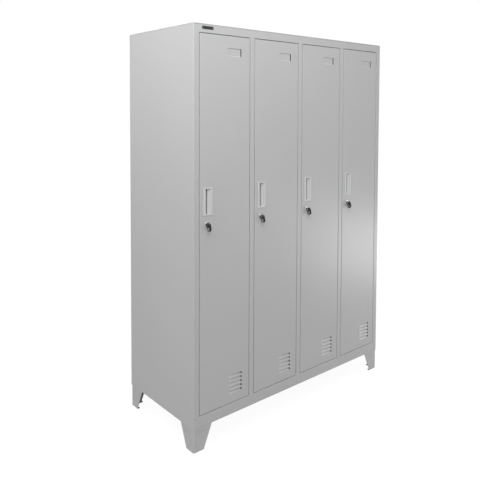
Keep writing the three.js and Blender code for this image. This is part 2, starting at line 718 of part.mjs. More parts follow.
// The bow, hanging: a fork with its pivot round the tab, and a round end with a hole for a ring.
function keyBow() {
  const neck = KEY_BOW_NECK / 2;
  const round = KEY_BOW_WIDTH / 2;
  const lean = Math.asin((round - neck) / KEY_BOW_LENGTH);
  const shape = new THREE.Shape();
  shape.absarc(-KEY_PIVOT_OUT, 0, neck, lean, Math.PI - lean);
  shape.absarc(-KEY_PIVOT_OUT, -KEY_BOW_LENGTH, round, Math.PI - lean, 2 * Math.PI + lean);
  const hole = new THREE.Path();
  hole.absarc(-KEY_PIVOT_OUT, -KEY_BOW_LENGTH, KEY_RING_HOLE / 2, 0, 2 * Math.PI, true);
  shape.holes.push(hole);
  const half = KEY_BOW_THICKNESS / 2;
  const paddle = solid(extrusion(shape, "x", -half, half, ROUND_STEPS / 2));
  const slot = KEY_THICKNESS / 2 + FIT_GAP;
  const slotFloor = -KEY_TAB_WIDTH / 2 - RUNNING_GAP;
  const cut = box(-slot, slot, -2 * KEY_REACH, 0, slotFloor, KEY_BOW_WIDTH);
  const pivot = turnedAboutX(rod(KEY_PIVOT_DIAMETER / 2, -half, half), PIN_STEPS);
  return paddle.subtract(cut).add(pivot.translate([0, -KEY_PIVOT_OUT, 0]));
}

// ---- Inside -------------------------------------------------------------------------------------

// Clear width of a compartment, between its two walls, in the cabinet's frame.
function compartmentWalls(n) {
  const first = n === 0 ? LEFT + SHEET : dividerMiddle(n) + HALF_SHEET;
  const last = n === COMPARTMENTS - 1 ? RIGHT - SHEET : dividerMiddle(n + 1) - HALF_SHEET;
  return [first + FIT_GAP, last - FIT_GAP];
}

function shelf(n) {
  const [x0, x1] = compartmentWalls(n);
  const top = HEIGHT - SHELF_DROP - HALF_SHEET;
  const front = SHELF_SETBACK + HALF_SHEET;
  const flangeEnd = top - SHELF_FRONT_FLANGE + SHEET;
  const rear = INSIDE_REAR - HALF_SHEET;
  const corners = [
    [front + SHELF_FRONT_HEM, flangeEnd],
    [front, flangeEnd],
    [front, top],
    [rear, top],
    [rear, top - SHELF_REAR_FLANGE],
  ];
  return prism(folded(corners, BEND), "x", x0, x1);
}

// The coat rail: a tube with a flange at each end, fastened to the compartment's walls.
function coatRail(n) {
  const [x0, x1] = compartmentWalls(n);
  const tube = COAT_RAIL_DIAMETER / 2;
  const bore = tube - COAT_RAIL_WALL;
  const flange = COAT_RAIL_FLANGE / 2;
  const thick = COAT_RAIL_FLANGE_THICKNESS;
  const profile = [
    [bore, x0],
    [flange, x0],
    [flange, x0 + thick],
    [tube, x0 + thick],
    [tube, x1 - thick],
    [flange, x1 - thick],
    [flange, x1],
    [bore, x1],
    [bore, x0],
  ];
  return turnedAboutX(profile).translate([0, DEPTH / 2, HEIGHT - SHELF_DROP - COAT_RAIL_DROP]);
}

// ---- Legs ---------------------------------------------------------------------------------------

// Drawn with the leg's outer corner at the origin and its faces along +X and +Y.
function legWall() {
  const c = LEG_CORNER;
  const t = LEG_SHEET;
  const inner = c + t * (Math.SQRT2 - 1);
  const w = LEG_TOP_WIDTH;
  const outline = [
    [c, 0],
    [w, 0],
    [w, t],
    [inner, t],
    [t, inner],
    [t, w],
    [0, w],
    [0, c],
  ];
  const shape = new THREE.Shape(outline.map(([x, y]) => new THREE.Vector2(x, y)));
  const geometry = extrusion(shape, "z", 0, LEG_HEIGHT - FIT_GAP);
  const position = geometry.attributes.position;
  const foot = LEG_FOOT_WIDTH - LEG_TOP_WIDTH;
  for (let i = 0; i < position.count; i++) {
    if (position.getZ(i) > 0) continue;
    if (position.getX(i) > inner + t) position.setX(i, position.getX(i) + foot);
    if (position.getY(i) > inner + t) position.setY(i, position.getY(i) + foot);
  }
  return solid(geometry);
}

// The pressed panel of the face along +X, between two depths, made larger all round by so much.
function legPanel(y0, y1, grown) {
  const margin = LEG_PANEL_MARGIN - grown;
  const top = LEG_HEIGHT - FIT_GAP - margin;
  const widthAt = (z) => LEG_FOOT_WIDTH + ((LEG_TOP_WIDTH - LEG_FOOT_WIDTH) * z) / LEG_HEIGHT - margin;
  const near = LEG_PANEL_CREASE - grown;
  const outline = [
    [near, margin],
    [widthAt(margin), margin],
    [widthAt(top), top],
    [near, top],
  ];
  return prism(outline, "y", y0, y1);
}

function legPlate(width, z0, z1) {
  const c = LEG_CORNER;
  const edge = LEG_SHEET / 2;
  const outline = [
    [c, 0],
    [width, 0],
    [width, edge],
    [edge, width],
    [0, width],
    [0, c],
  ];
  return prism(outline, "z", z0, z1);
}

function leg() {
  const top = LEG_HEIGHT - FIT_GAP;
  const swapped = new THREE.Matrix4().makeScale(-1, 1, 1);
  swapped.multiply(new THREE.Matrix4().makeRotationZ(Math.PI / 2));
  let body = legWall();
  body = body.add(legPlate(LEG_FOOT_WIDTH, 0, LEG_SHEET));
  body = body.add(legPlate(LEG_TOP_WIDTH, top - LEG_SHEET, top));
  const pocket = legPanel(-LEG_SHEET, LEG_PANEL_DEPTH, 0);
  const boss = legPanel(LEG_SHEET / 2, LEG_SHEET + LEG_PANEL_DEPTH, LEG_SHEET);
  for (const matrix of [new THREE.Matrix4(), swapped]) {
    body = body.add(boss.transform(matrix.toArray())).subtract(pocket.transform(matrix.toArray()));
  }
  return body;
}

// ---- Assembly -----------------------------------------------------------------------------------

const cabinet = new THREE.Group();
cabinet.position.y = FACE_Y;

function place(parent, made, x = 0, y = 0, z = 0) {
  made.position.set(x, y, z);
  parent.add(made);
}

place(cabinet, mesh("back_panel", backPanel(), POWDER_COAT));
place(cabinet, mesh("side_panel_left", sidePanel(-1), POWDER_COAT));
place(cabinet, mesh("side_panel_right", sidePanel(1), POWDER_COAT));
place(cabinet, mesh("top_panel", topPanel(), POWDER_COAT));
place(cabinet, mesh("bottom_panel", bottomPanel(), POWDER_COAT));
place(cabinet, mesh("front_frame", frontFrame(), POWDER_COAT));
for (let n = 1; n < COMPARTMENTS; n++) {
  place(cabinet, mesh(`divider_${n}`, divider(n), POWDER_COAT));
}

const plateX = LEFT + PLATE_EDGE;
const plateZ = HEIGHT - PLATE_DROP - PLATE_HEIGHT;
const plate = box(0, PLATE_WIDTH, -FIT_GAP - PLATE_THICKNESS, -FIT_GAP, 0, PLATE_HEIGHT);
place(cabinet, mesh("name_plate", plate, DARK_PLATE), plateX, 0, plateZ);

const legCorners = [
  ["leg_front_left", LEFT + LEG_INSET, LEG_INSET, 0],
  ["leg_front_right", RIGHT - LEG_INSET, LEG_INSET, 1],
  ["leg_rear_right", RIGHT - LEG_INSET, DEPTH - LEG_INSET, 2],
  ["leg_rear_left", LEFT + LEG_INSET, DEPTH - LEG_INSET, 3],
];
for (const [name, x, y, quarterTurns] of legCorners) {
  const made = mesh(name, leg(), POWDER_COAT);
  made.rotation.z = (quarterTurns * Math.PI) / 2;
  place(cabinet, made, x, y, 0);
}

for (let n = 0; n < COMPARTMENTS; n++) {
  const number = n + 1;
  place(cabinet, mesh(`shelf_${number}`, shelf(n), POWDER_COAT));
  place(cabinet, mesh(`coat_rail_${number}`, coatRail(n), ZINC));

  const compartment = new THREE.Group();
  place(cabinet, compartment, openingLeft(n), 0, OPENING_BOTTOM);
  place(compartment, mesh(`door_${number}`, door(), POWDER_COAT));
  place(compartment, mesh(`pull_${number}`, pull(), PULL_PLASTIC), PULL_X, 0, PULL_Z);
  const lower = mesh(`hinge_pin_lower_${number}`, hingePin(), ZINC);
  place(compartment, lower, PIN_X, PIN_INSET, 0);
  const upper = mesh(`hinge_pin_upper_${number}`, hingePin(), ZINC);
  upper.rotation.x = Math.PI;
  place(compartment, upper, PIN_X, PIN_INSET, OPENING_HEIGHT);

  const lock = new THREE.Group();
  place(compartment, lock, LOCK_X, 0, LOCK_Z);
  place(lock, mesh(`lock_housing_${number}`, lockHousing(), CHROME));
  place(lock, mesh(`lock_plug_${number}`, lockPlug(), NICKEL));
  place(lock, mesh(`lock_cam_${number}`, lockCam(), ZINC));
  place(lock, mesh(`key_blade_${number}`, keyBlade(), NICKEL));
  place(lock, mesh(`key_bow_${number}`, keyBow(), BLACK_PLASTIC));
}

export default cabinet;
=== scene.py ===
"""A steel locker cabinet with four compartments: its finished look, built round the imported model.

Metres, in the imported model's frame: +X to the right of someone who faces the doors, +Y to the rear, +Z up.
"""

import functools
import logging
import math
from collections.abc import Iterable, Sequence
from dataclasses import dataclass, field
from enum import Enum
from typing import Any

import bmesh
import bpy
from bmesh.types import BMEdge, BMFace, BMVert
from mathutils import Matrix, Vector


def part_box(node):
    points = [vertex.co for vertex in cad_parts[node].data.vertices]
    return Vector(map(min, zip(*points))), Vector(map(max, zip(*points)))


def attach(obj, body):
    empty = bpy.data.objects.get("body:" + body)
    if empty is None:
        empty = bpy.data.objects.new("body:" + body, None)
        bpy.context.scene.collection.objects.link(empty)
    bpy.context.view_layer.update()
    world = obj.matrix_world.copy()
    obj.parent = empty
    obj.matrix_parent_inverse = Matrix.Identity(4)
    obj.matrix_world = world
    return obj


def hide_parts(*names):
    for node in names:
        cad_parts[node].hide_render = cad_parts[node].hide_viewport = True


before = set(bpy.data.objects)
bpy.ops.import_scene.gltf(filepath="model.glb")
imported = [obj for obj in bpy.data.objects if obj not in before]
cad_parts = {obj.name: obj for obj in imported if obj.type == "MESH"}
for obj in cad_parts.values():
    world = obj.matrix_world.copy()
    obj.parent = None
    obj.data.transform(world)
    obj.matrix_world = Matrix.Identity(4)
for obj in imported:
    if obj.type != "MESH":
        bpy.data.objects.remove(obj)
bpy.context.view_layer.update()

LOG = logging.getLogger("locker")
COMPARTMENTS = 4
CABINET = "cabinet"
TINY = 1e-5  # tells two places apart
Colour = tuple[float, float, float]
Spot = tuple[float, float]
EVERYWHERE = (-math.inf, math.inf)


# ---- Shader recipes ------------------------------------------------------------------------------


class Signal:
    """A shader socket that takes part in Python arithmetic, each step adding a Math node."""

    def __init__(self, mixer: "Mixer", socket: bpy.types.NodeSocket) -> None:
        """Wraps a socket of a mixer's tree."""
        self.mixer = mixer
        self.socket = socket

    def _step(self, operation: str, first: Any, second: Any) -> "Signal":
        """Adds one Math node and returns its result."""
        return self.mixer.node("ShaderNodeMath", {"operation": operation}, {0: first, 1: second})

    def __add__(self, other: Any) -> "Signal":
        """Signal plus a number or signal."""
        return self._step("ADD", self, other)

    def __mul__(self, other: Any) -> "Signal":
        """Signal times a number or signal."""
        return self._step("MULTIPLY", self, other)


class Mixer:
    """A node tree being filled."""

    def __init__(self, tree: bpy.types.NodeTree) -> None:
        """Works on a node tree."""
        self.tree = tree

    def node(
        self, kind: str, settings: dict[str, Any], inputs: dict[Any, Any], output: str | int = 0
    ) -> Signal:
        """Adds a node.

        Args:
            kind: The node's type.
            settings: Its own settings, set first. "stops" are a colour ramp's (place, value) pairs.
            inputs: Values or signals for its sockets, by name or number.
            output: The socket wanted back, by name or number.

        Returns:
            That output as a signal.
        """
        made = self.tree.nodes.new(kind)
        for key, value in settings.items():
            if key == "stops":
                self._set_stops(made.color_ramp, value)
            else:
                setattr(made, key, value)
        for key, value in inputs.items():
            self.feed(made.inputs[key], value)
        return Signal(self, made.outputs[output])

    def _set_stops(self, ramp: bpy.types.ColorRamp, stops: Sequence[tuple[float, float]]) -> None:
        """Gives a grey colour ramp its (place, value) stops."""
        for spare, (place, value) in enumerate(stops):
            stop = ramp.elements[spare] if spare < 2 else ramp.elements.new(place)
            stop.position = place
            stop.color = (value, value, value, 1)

    def feed(self, socket: bpy.types.NodeSocket, value: Any) -> None:
        """Links a signal to a socket, or sets the socket to a plain value."""
        if isinstance(value, Signal):
            self.tree.links.new(value.socket, socket)
        else:
            socket.default_value = value


class Recipe(Mixer):
    """A material being mixed."""

    def __init__(self, name: str) -> None:
        """Starts a material with a plain Principled shader.

        Args:
            name: The material's name.
        """
        self.material = bpy.data.materials.new(name)
        self.material.use_nodes = True
        super().__init__(self.material.node_tree)
        self.shader = self.tree.nodes["Principled BSDF"]

    def set(self, **values: Any) -> None:
        """Sets or feeds the shader's sockets, whose names are written with _ for a space."""
        for name, value in values.items():
            self.feed(self.shader.inputs[name.replace("_", " ")], value)

    def noise(self, scale: float, detail: float = 2, stretch: Colour = (1, 1, 1)) -> Signal:
        """A noise pattern fixed to the piece.

        Args:
            scale: Features for each metre.
            detail: How many finer layers it has.
            stretch: Factors along X, Y and Z. A small one draws the pattern out along that axis.

        Returns:
            Values round 0.5.
        """
        place = self.node("ShaderNodeTexCoord", {}, {}, "Object")
        place = self.node("ShaderNodeMapping", {}, {"Vector": place, "Scale": stretch})
        return self.node("ShaderNodeTexNoise", {}, {"Vector": place, "Scale": scale, "Detail": detail})

    def ramp(self, signal: Signal, stops: Sequence[tuple[float, float]]) -> Signal:
        """Reshapes a signal through a grey ramp of (place, value) stops."""
        return self.node("ShaderNodeValToRGB", {"stops": stops}, {"Fac": signal})

    def blend(self, mask: Signal, first: Colour, second: Colour) -> Signal:
        """Goes from the first colour to the second as the mask rises from 0 to 1."""
        ends = {"Factor": mask, 6: (*first, 1), 7: (*second, 1)}
        return self.node("ShaderNodeMix", {"data_type": "RGBA"}, ends, 2)

    def bump(self, height: Signal, distance: float, strength: float = 1.0) -> Signal:
        """The normal of a surface with this height pattern, of so many metres from low to high."""
        sockets = {"Height": height, "Distance": distance, "Strength": strength}
        return self.node("ShaderNodeBump", {}, sockets)


def shade(colour: Colour, factor: float) -> Colour:
    """A colour made lighter or darker by a factor."""
    return tuple(min(1.0, part * factor) for part in colour)


# ---- Finishes ------------------------------------------------------------------------------------


@dataclass(frozen=True)
class Finish:
    """A surface finish: its name, and the record's material slot that it stands for."""

    name: str
    slot: str
    colour: Colour
    roughness: float

    def mix(self, recipe: Recipe) -> None:
        """Lays the finish on a recipe's shader."""
        raise NotImplementedError


@dataclass(frozen=True)
class PowderCoat(Finish):
    """Baked powder paint on steel sheet: orange peel, faint clouding and fine specks."""

    peel: float = 0.00009  # height of the orange peel

    def mix(self, recipe: Recipe) -> None:
        """Lays the paint on a recipe's shader."""
        clouds = recipe.noise(2.2, 3)
        specks = recipe.ramp(recipe.noise(900, 1), [(0.62, 0.0), (0.74, 1.0)])
        peel = recipe.noise(330, 2) + recipe.noise(110, 1) * 0.6
        tone = clouds * 0.8 + specks * 0.25
        recipe.set(
            Base_Color=recipe.blend(tone, shade(self.colour, 0.965), shade(self.colour, 1.04)),
            Roughness=clouds * 0.10 + specks * 0.04 + (self.roughness - 0.05),
            Normal=recipe.bump(peel, self.peel, 0.55),
        )


@dataclass(frozen=True)
class MouldedPlastic(Finish):
    """Injection-moulded plastic with a fine eroded grain."""

    grain: float = 0.00005

    def mix(self, recipe: Recipe) -> None:
        """Lays the plastic on a recipe's shader."""
        flow = recipe.noise(28, 3, (1, 1, 0.35))
        grain = recipe.noise(2600, 2)
        handled = recipe.ramp(recipe.noise(60, 4), [(0.42, 0.0), (0.7, 1.0)])
        recipe.set(
            Base_Color=recipe.blend(flow, shade(self.colour, 0.95), shade(self.colour, 1.04)),
            Roughness=handled * -0.09 + grain * 0.08 + self.roughness,
            Normal=recipe.bump(grain, self.grain, 0.5),
        )


@dataclass(frozen=True)
class Metal(Finish):
    """Bare or plated metal with fine marks drawn out along one axis, and handling haze."""

    marks: Colour = (1, 1, 1)  # a small factor draws the marks out along that axis
    fineness: float = 2400
    depth: float = 0.00002
    haze: float = 0.10

    def mix(self, recipe: Recipe) -> None:
        """Lays the metal on a recipe's shader."""
        marks = recipe.noise(self.fineness, 3, self.marks)
        haze = recipe.ramp(recipe.noise(90, 4), [(0.38, 0.0), (0.68, 1.0)])
        recipe.set(
            Base_Color=recipe.blend(haze, self.colour, shade(self.colour, 0.86)),
            Metallic=1.0,
            Roughness=haze * self.haze + marks * 0.06 + (self.roughness - 0.03),
            Normal=recipe.bump(marks, self.depth, 0.4),
        )


@dataclass(frozen=True)
class SpangledZinc(Finish):
    """Zinc plate: small crystals that differ in tone and gloss."""

    crystals: float = 260

    def mix(self, recipe: Recipe) -> None:
        """Lays the zinc on a recipe's shader."""
        place = recipe.node("ShaderNodeTexCoord", {}, {}, "Object")
        cells = recipe.node(
            "ShaderNodeTexVoronoi", {}, {"Vector": place, "Scale": self.crystals}, "Color"
        )
        tone = recipe.node("ShaderNodeSeparateColor", {}, {"Color": cells})
        fog = recipe.noise(45, 3)
        recipe.set(
            Base_Color=recipe.blend(tone, shade(self.colour, 0.88), shade(self.colour, 1.08)),
            Metallic=1.0,
            Roughness=tone * 0.10 + fog * 0.12 + (self.roughness - 0.1),
            Normal=recipe.bump(recipe.noise(700, 2), 0.00003, 0.5),
        )


@dataclass(frozen=True)
class Rubber(Finish):
    """Moulded rubber with a dull bloom."""

    def mix(self, recipe: Recipe) -> None:
        """Lays the rubber on a recipe's shader."""
        bloom = recipe.ramp(recipe.noise(180, 4), [(0.45, 0.0), (0.8, 1.0)])
        recipe.set(
            Base_Color=recipe.blend(bloom, self.colour, shade(self.colour, 1.9)),
            Roughness=bloom * 0.15 + self.roughness,
            Normal=recipe.bump(recipe.noise(1500, 2), 0.00005, 0.5),
        )


PAINT = PowderCoat("powder_coat_light_grey", "powder_coat", (0.54, 0.543, 0.541), 0.34)
PULL_GREY = MouldedPlastic("pull_grey", "pull_plastic", (0.66, 0.665, 0.665), 0.36)
BLACK = MouldedPlastic("bow_black", "black_plastic", (0.012, 0.0125, 0.014), 0.32)
CHROME = Metal("chrome", "chrome", (0.80, 0.805, 0.815), 0.11, (1, 1, 1), 1500, 0.00001, 0.06)
NICKEL = Metal("nickel", "nickel", (0.66, 0.645, 0.60), 0.22, (1, 0.04, 1))
DRAWN_STEEL = Metal("drawn_steel", "zinc", (0.62, 0.625, 0.635), 0.22, (0.02, 1, 1))
ZINC = SpangledZinc("zinc_plate", "zinc", (0.50, 0.51, 0.53), 0.38)
DARK_PLATE = Metal("dark_plate", "dark_plate", (0.10, 0.105, 0.115), 0.38, (0.02, 1, 1), 2800)
RUBBER = Rubber("rubber", "black_plastic", (0.018, 0.018, 0.018), 0.68)


@functools.cache
def material_of(finish: Finish) -> bpy.types.Material:
    """The one material of a finish, mixed at its first use."""
    recipe = Recipe(finish.name)
    finish.mix(recipe)
    return recipe.material


# ---- Shapes --------------------------------------------------------------------------------------


class Axis(Enum):
    """An axis that a shape runs along or turns about."""

    X = 0
    Y = 1
    Z = 2

    @property
    def way(self) -> Vector:
        """The unit vector along the axis."""
        return self.point(0, 0, 1)

    def stand(self, centre: Vector) -> Matrix:
        """Puts what was made along Z and round the origin along this axis and round a point."""
        turn = Vector((0, 0, 1)).rotation_difference(self.way).to_matrix().to_4x4()
        return Matrix.Translation(centre) @ turn

    def point(self, u: float, v: float, along: float) -> Vector:
        """A point from its place along the axis and its other two coordinates, in XYZ order."""
        spots = [u, v]
        spots.insert(self.value, along)
        return Vector(spots)


def corners_of(faces: Iterable[BMFace]) -> list[BMVert]:
    """The vertices of some faces, each once, in a fixed order."""
    return list(dict.fromkeys(corner for face in faces for corner in face.verts))


class Shape:
    """A piece while bmesh operators shape it."""

    fold_steps = 5

    def __init__(self) -> None:
        """Starts empty."""
        self.mesh = bmesh.new()

    def faces(self) -> list[BMFace]:
        """All faces there are now, with their normals up to date."""
        self.mesh.normal_update()
        return list(self.mesh.faces)

    def facing(self, way: Vector, faces: Iterable[BMFace] | None = None) -> list[BMFace]:
        """The faces that look one way, out of some or out of all."""
        return [face for face in faces or self.faces() if face.normal.dot(way) > 0.99]

    def edges_along(self, axis: Axis) -> list[BMEdge]:
        """The edges that run along an axis."""
        ends = ((edge, edge.verts[0].co - edge.verts[1].co) for edge in self.mesh.edges)
        return [edge for edge, run in ends if abs(run.normalized().dot(axis.way)) > 0.9]

    def block(self, low: Vector, high: Vector) -> list[BMFace]:
        """Adds a block between two corners and returns its faces."""
        place = Matrix.Translation((low + high) / 2) @ Matrix.Diagonal((*(high - low), 1))
        made = bmesh.ops.create_cube(self.mesh, size=1, matrix=place)["verts"]
        self.mesh.normal_update()
        return list(dict.fromkeys(face for corner in made for face in corner.link_faces))

    def rod(self, centre: Vector, axis: Axis, radius: float, length: float, sides: int = 32) -> list[BMVert]:
        """Adds a solid round or many-sided bar with its middle at a point, and returns its vertices."""
        made = bmesh.ops.create_cone(
            self.mesh,
            cap_ends=True,
            segments=sides,
            radius1=radius,
            radius2=radius,
            depth=length,
            matrix=axis.stand(centre),
        )
        return made["verts"]

    def sheet(
        self, corners: Sequence[Spot], axis: Axis, start: float, end: float, radius: float
    ) -> list[BMFace]:
        """Adds a folded sheet without thickness: a line drawn out along an axis.

        Args:
            corners: The line's corners, across the axis.
            axis: The axis that every fold runs along.
            start: Where the sheet starts on the axis.
            end: Where it ends.
            radius: Radius of the folds.

        Returns:
            The sheet's faces.
        """
        line = [self.mesh.verts.new(axis.point(u, v, start)) for u, v in corners]
        edges = [self.mesh.edges.new(pair) for pair in zip(line, line[1:])]
        far, faces = self.draw_out(edges)
        bmesh.ops.translate(self.mesh, verts=far, vec=axis.way * (end - start))
        folds = [
            edge
            for corner in line[1:-1]
            for edge in corner.link_edges
            if abs((edge.verts[0].co - edge.verts[1].co).normalized().dot(axis.way)) > 0.99
        ]
        self.mesh.normal_update()
        for fold in folds:
            trim = radius * math.tan(fold.calc_face_angle() / 2)
            faces += self.round([fold], trim)
        return [face for face in faces if face.is_valid]

    def turned(
        self, profile: Sequence[Spot], centre: Vector, axis: Axis, steps: int = 40, ring: bool = False
    ) -> None:
        """Adds a turned shape.

        Args:
            profile: (radius, distance along the axis) points.
            centre: Where the distances start.
            axis: The axis that it turns about.
            steps: How many steps a full turn takes.
            ring: True where the last point joins the first.
        """
        old = set(self.mesh.verts)
        line = [self.mesh.verts.new(centre + axis.point(r, 0, along)) for r, along in profile]
        ends = line[1:] + line[:1] if ring else line[1:]
        edges = [self.mesh.edges.new(pair) for pair in zip(line, ends)]
        bmesh.ops.spin(
            self.mesh,
            geom=line + edges,
            cent=centre,
            axis=axis.way,
            angle=math.tau,
            steps=steps,
            use_merge=True,
        )
        new = [corner for corner in self.mesh.verts if corner not in old]
        bmesh.ops.remove_doubles(self.mesh, verts=new, dist=TINY / 10)
        kept = dict.fromkeys(face for corner in new if corner.is_valid for face in corner.link_faces)
        bmesh.ops.recalc_face_normals(self.mesh, faces=list(kept))

    def hull(self, bars: Sequence[list[BMVert]]) -> list[BMFace]:
        """Wraps some bars in one convex solid, and returns its faces."""
        old = set(self.mesh.faces) - {face for bar in bars for corner in bar for face in corner.link_faces}
        bmesh.ops.delete(self.mesh, geom=[f for f in self.mesh.faces if f not in old], context="FACES_ONLY")
        corners = [corner for bar in bars for corner in bar]
        made = bmesh.ops.convex_hull(self.mesh, input=corners)
        spare = [part for part in made["geom_interior"] if isinstance(part, BMVert)]
        bmesh.ops.delete(self.mesh, geom=spare, context="VERTS")
        loose = [edge for edge in self.mesh.edges if not edge.link_faces]
        bmesh.ops.delete(self.mesh, geom=loose, context="EDGES")
        new = [face for face in self.mesh.faces if face not in old]
        edges = list(dict.fromkeys(edge for face in new for edge in face.edges))
        bmesh.ops.dissolve_limit(
            self.mesh, angle_limit=math.radians(1), verts=corners_of(new), edges=edges
        )
        return [face for face in self.faces() if face not in old]

    def round(self, edges: Sequence[BMEdge], width: float, steps: int | None = None) -> list[BMFace]:
        """Rounds some edges and returns the faces that this makes."""
        made = bmesh.ops.bevel(
            self.mesh,
            geom=list(edges),
            offset=width,
            offset_type="OFFSET",
            segments=steps or self.fold_steps,
            profile=0.5,
            affect="EDGES",
            material=-1,
            clamp_overlap=True,
        )
        return made["faces"]

    def cut(self, faces: Iterable[BMFace], point: Vector, way: Vector) -> None:
        """Cuts some faces along the plane through a point, across a way."""
        faces = list(faces)
        edges = list(dict.fromkeys(edge for face in faces for edge in face.edges))
        geometry = corners_of(faces) + edges + faces
        bmesh.ops.bisect_plane(self.mesh, geom=geometry, dist=TINY / 10, plane_co=point, plane_no=way)

    def slice(self, faces: Iterable[BMFace], axis: Axis, place: float) -> None:
        """Cuts some faces across an axis at a place on it."""
        self.cut(faces, axis.way * place, axis.way)

    def within(
        self, way: Vector, low: Sequence[float | None], high: Sequence[float | None]
    ) -> list[BMFace]:
        """The faces that look one way and whose middle lies within limits; None is no limit."""
        found = []
        for face in self.facing(way):
            middle = face.calc_center_median()
            above = all(limit is None or middle[i] > limit for i, limit in enumerate(low))
            below = all(limit is None or middle[i] < limit for i, limit in enumerate(high))
            if above and below:
                found.append(face)
        return found

    def push(self, faces: Sequence[BMFace], way: Vector) -> list[BMFace]:
        """Extrudes some faces as one region, moves them, and returns them."""
        made = bmesh.ops.extrude_face_region(self.mesh, geom=list(faces))["geom"]
        spare = [face for face in faces if face.is_valid]
        if spare:
            bmesh.ops.delete(self.mesh, geom=spare, context="FACES_ONLY")
        moved = [part for part in made if isinstance(part, BMFace)]
        bmesh.ops.translate(self.mesh, verts=corners_of(moved), vec=way)
        self.mesh.normal_update()
        return moved

    def draw_out(self, edges: Sequence[BMEdge]) -> tuple[list[BMVert], list[BMFace]]:
        """Doubles some edges, and returns the new vertices and the faces that join them to the old."""
        made = bmesh.ops.extrude_edge_only(self.mesh, edges=edges)["geom"]
        corners = [part for part in made if isinstance(part, BMVert)]
        return corners, [part for part in made if isinstance(part, BMFace)]

    def drop(self, faces: Sequence[BMFace]) -> None:
        """Removes some faces, and the edges that only they used."""
        bmesh.ops.delete(self.mesh, geom=list(faces), context="FACES")

    def round_hole(
        self, face: BMFace, centre: Vector, axis: Axis, radius: float, sides: int = 32
    ) -> list[BMEdge]:
        """Opens a round hole in a face.

        Args:
            face: A flat, convex face across the axis, with the centre inside it.
            centre: The hole's middle.
            axis: The hole's axis.
            radius: The hole's radius.
            sides: How many sides its edge has.

        Returns:
            The edges round the hole.
        """
        way = face.normal.copy()
        outline = list(face.edges)
        self.mesh.faces.remove(face)
        made = bmesh.ops.create_circle(
            self.mesh, cap_ends=False, segments=sides, radius=radius, matrix=axis.stand(centre)
        )
        rim = list(dict.fromkeys(edge for corner in made["verts"] for edge in corner.link_edges))
        filled = bmesh.ops.bridge_loops(self.mesh, edges=outline + rim)["faces"]
        self.mesh.normal_update()
        for part in filled:
            if part.normal.dot(way) < 0:
                part.normal_flip()
        return rim

    def recess(self, faces: Sequence[BMFace], margin: float, depth: float) -> list[BMFace]:
        """Sinks the middle of some faces, with a sloping wall as wide as the margin."""
        made = bmesh.ops.inset_region(
            self.mesh, faces=list(faces), thickness=margin, depth=-depth, use_even_offset=True
        )
        return made["faces"]

    def finished(
        self,
        name: str,
        finish: Finish,
        body: str,
        replaces: Sequence[str] = (),
        thickness: float = 0,
        offset: float = 0,
        edge: float = 0.0002,
        edge_steps: int = 2,
    ) -> bpy.types.Object:
        """Makes the shape a piece of the model.

        Args:
            name: The piece's name.
            finish: Its finish.
            body: The body that it rides on.
            replaces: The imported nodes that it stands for.
            thickness: The thickness of its sheet, if it is one.
            offset: 0 to thicken both ways, -1 to thicken away from where the faces look.
            edge: Radius of its edges.
            edge_steps: Steps across each rounded edge.

        Returns:
            The piece's object.
        """
        data = bpy.data.meshes.new(name)
        for face in self.mesh.faces:
            face.smooth = True
        self.mesh.to_mesh(data)
        self.mesh.free()
        made = bpy.data.objects.new(name, data)
        bpy.context.scene.collection.objects.link(made)
        data.materials.append(material_of(finish))
        if thickness:
            wall = made.modifiers.new("wall", "SOLIDIFY")
            wall.thickness, wall.offset, wall.use_even_offset = thickness, offset, True
        if edge:
            soft = made.modifiers.new("edges", "BEVEL")
            soft.width, soft.segments = edge, edge_steps
            soft.limit_method, soft.angle_limit = "ANGLE", math.radians(38)
            soft.harden_normals = True
        flat = made.modifiers.new("normals", "WEIGHTED_NORMAL")
        flat.weight, flat.keep_sharp = 100, True
        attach(made, body)
        if replaces:
            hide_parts(*replaces)
        LOG.info("%s: %s, on %s", name, finish.name, body)
        return made


# ---- Body ----------------------------------------------------------------------------------------

FRONT = Vector((0, -1, 0))
REAR = Vector((0, 1, 0))
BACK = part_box("back_panel")
FACE_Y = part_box("front_frame")[0].y  # the plane of the frame's and the doors' faces
TOP_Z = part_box("top_panel")[1].z
DOOR_GAP = 0.002  # round a shut door
OPENING_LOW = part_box("door_1")[0].z - DOOR_GAP
OPENING_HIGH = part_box("door_1")[1].z + DOOR_GAP


def middle_of(node: str) -> Vector:
    """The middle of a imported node's box."""
    low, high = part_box(node)
    return (low + high) / 2


def opening(number: int) -> tuple[float, float]:
    """Where a door's opening starts and ends, from left to right."""
    low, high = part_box(f"door_{number}")
    return low.x - DOOR_GAP, high.x + DOOR_GAP


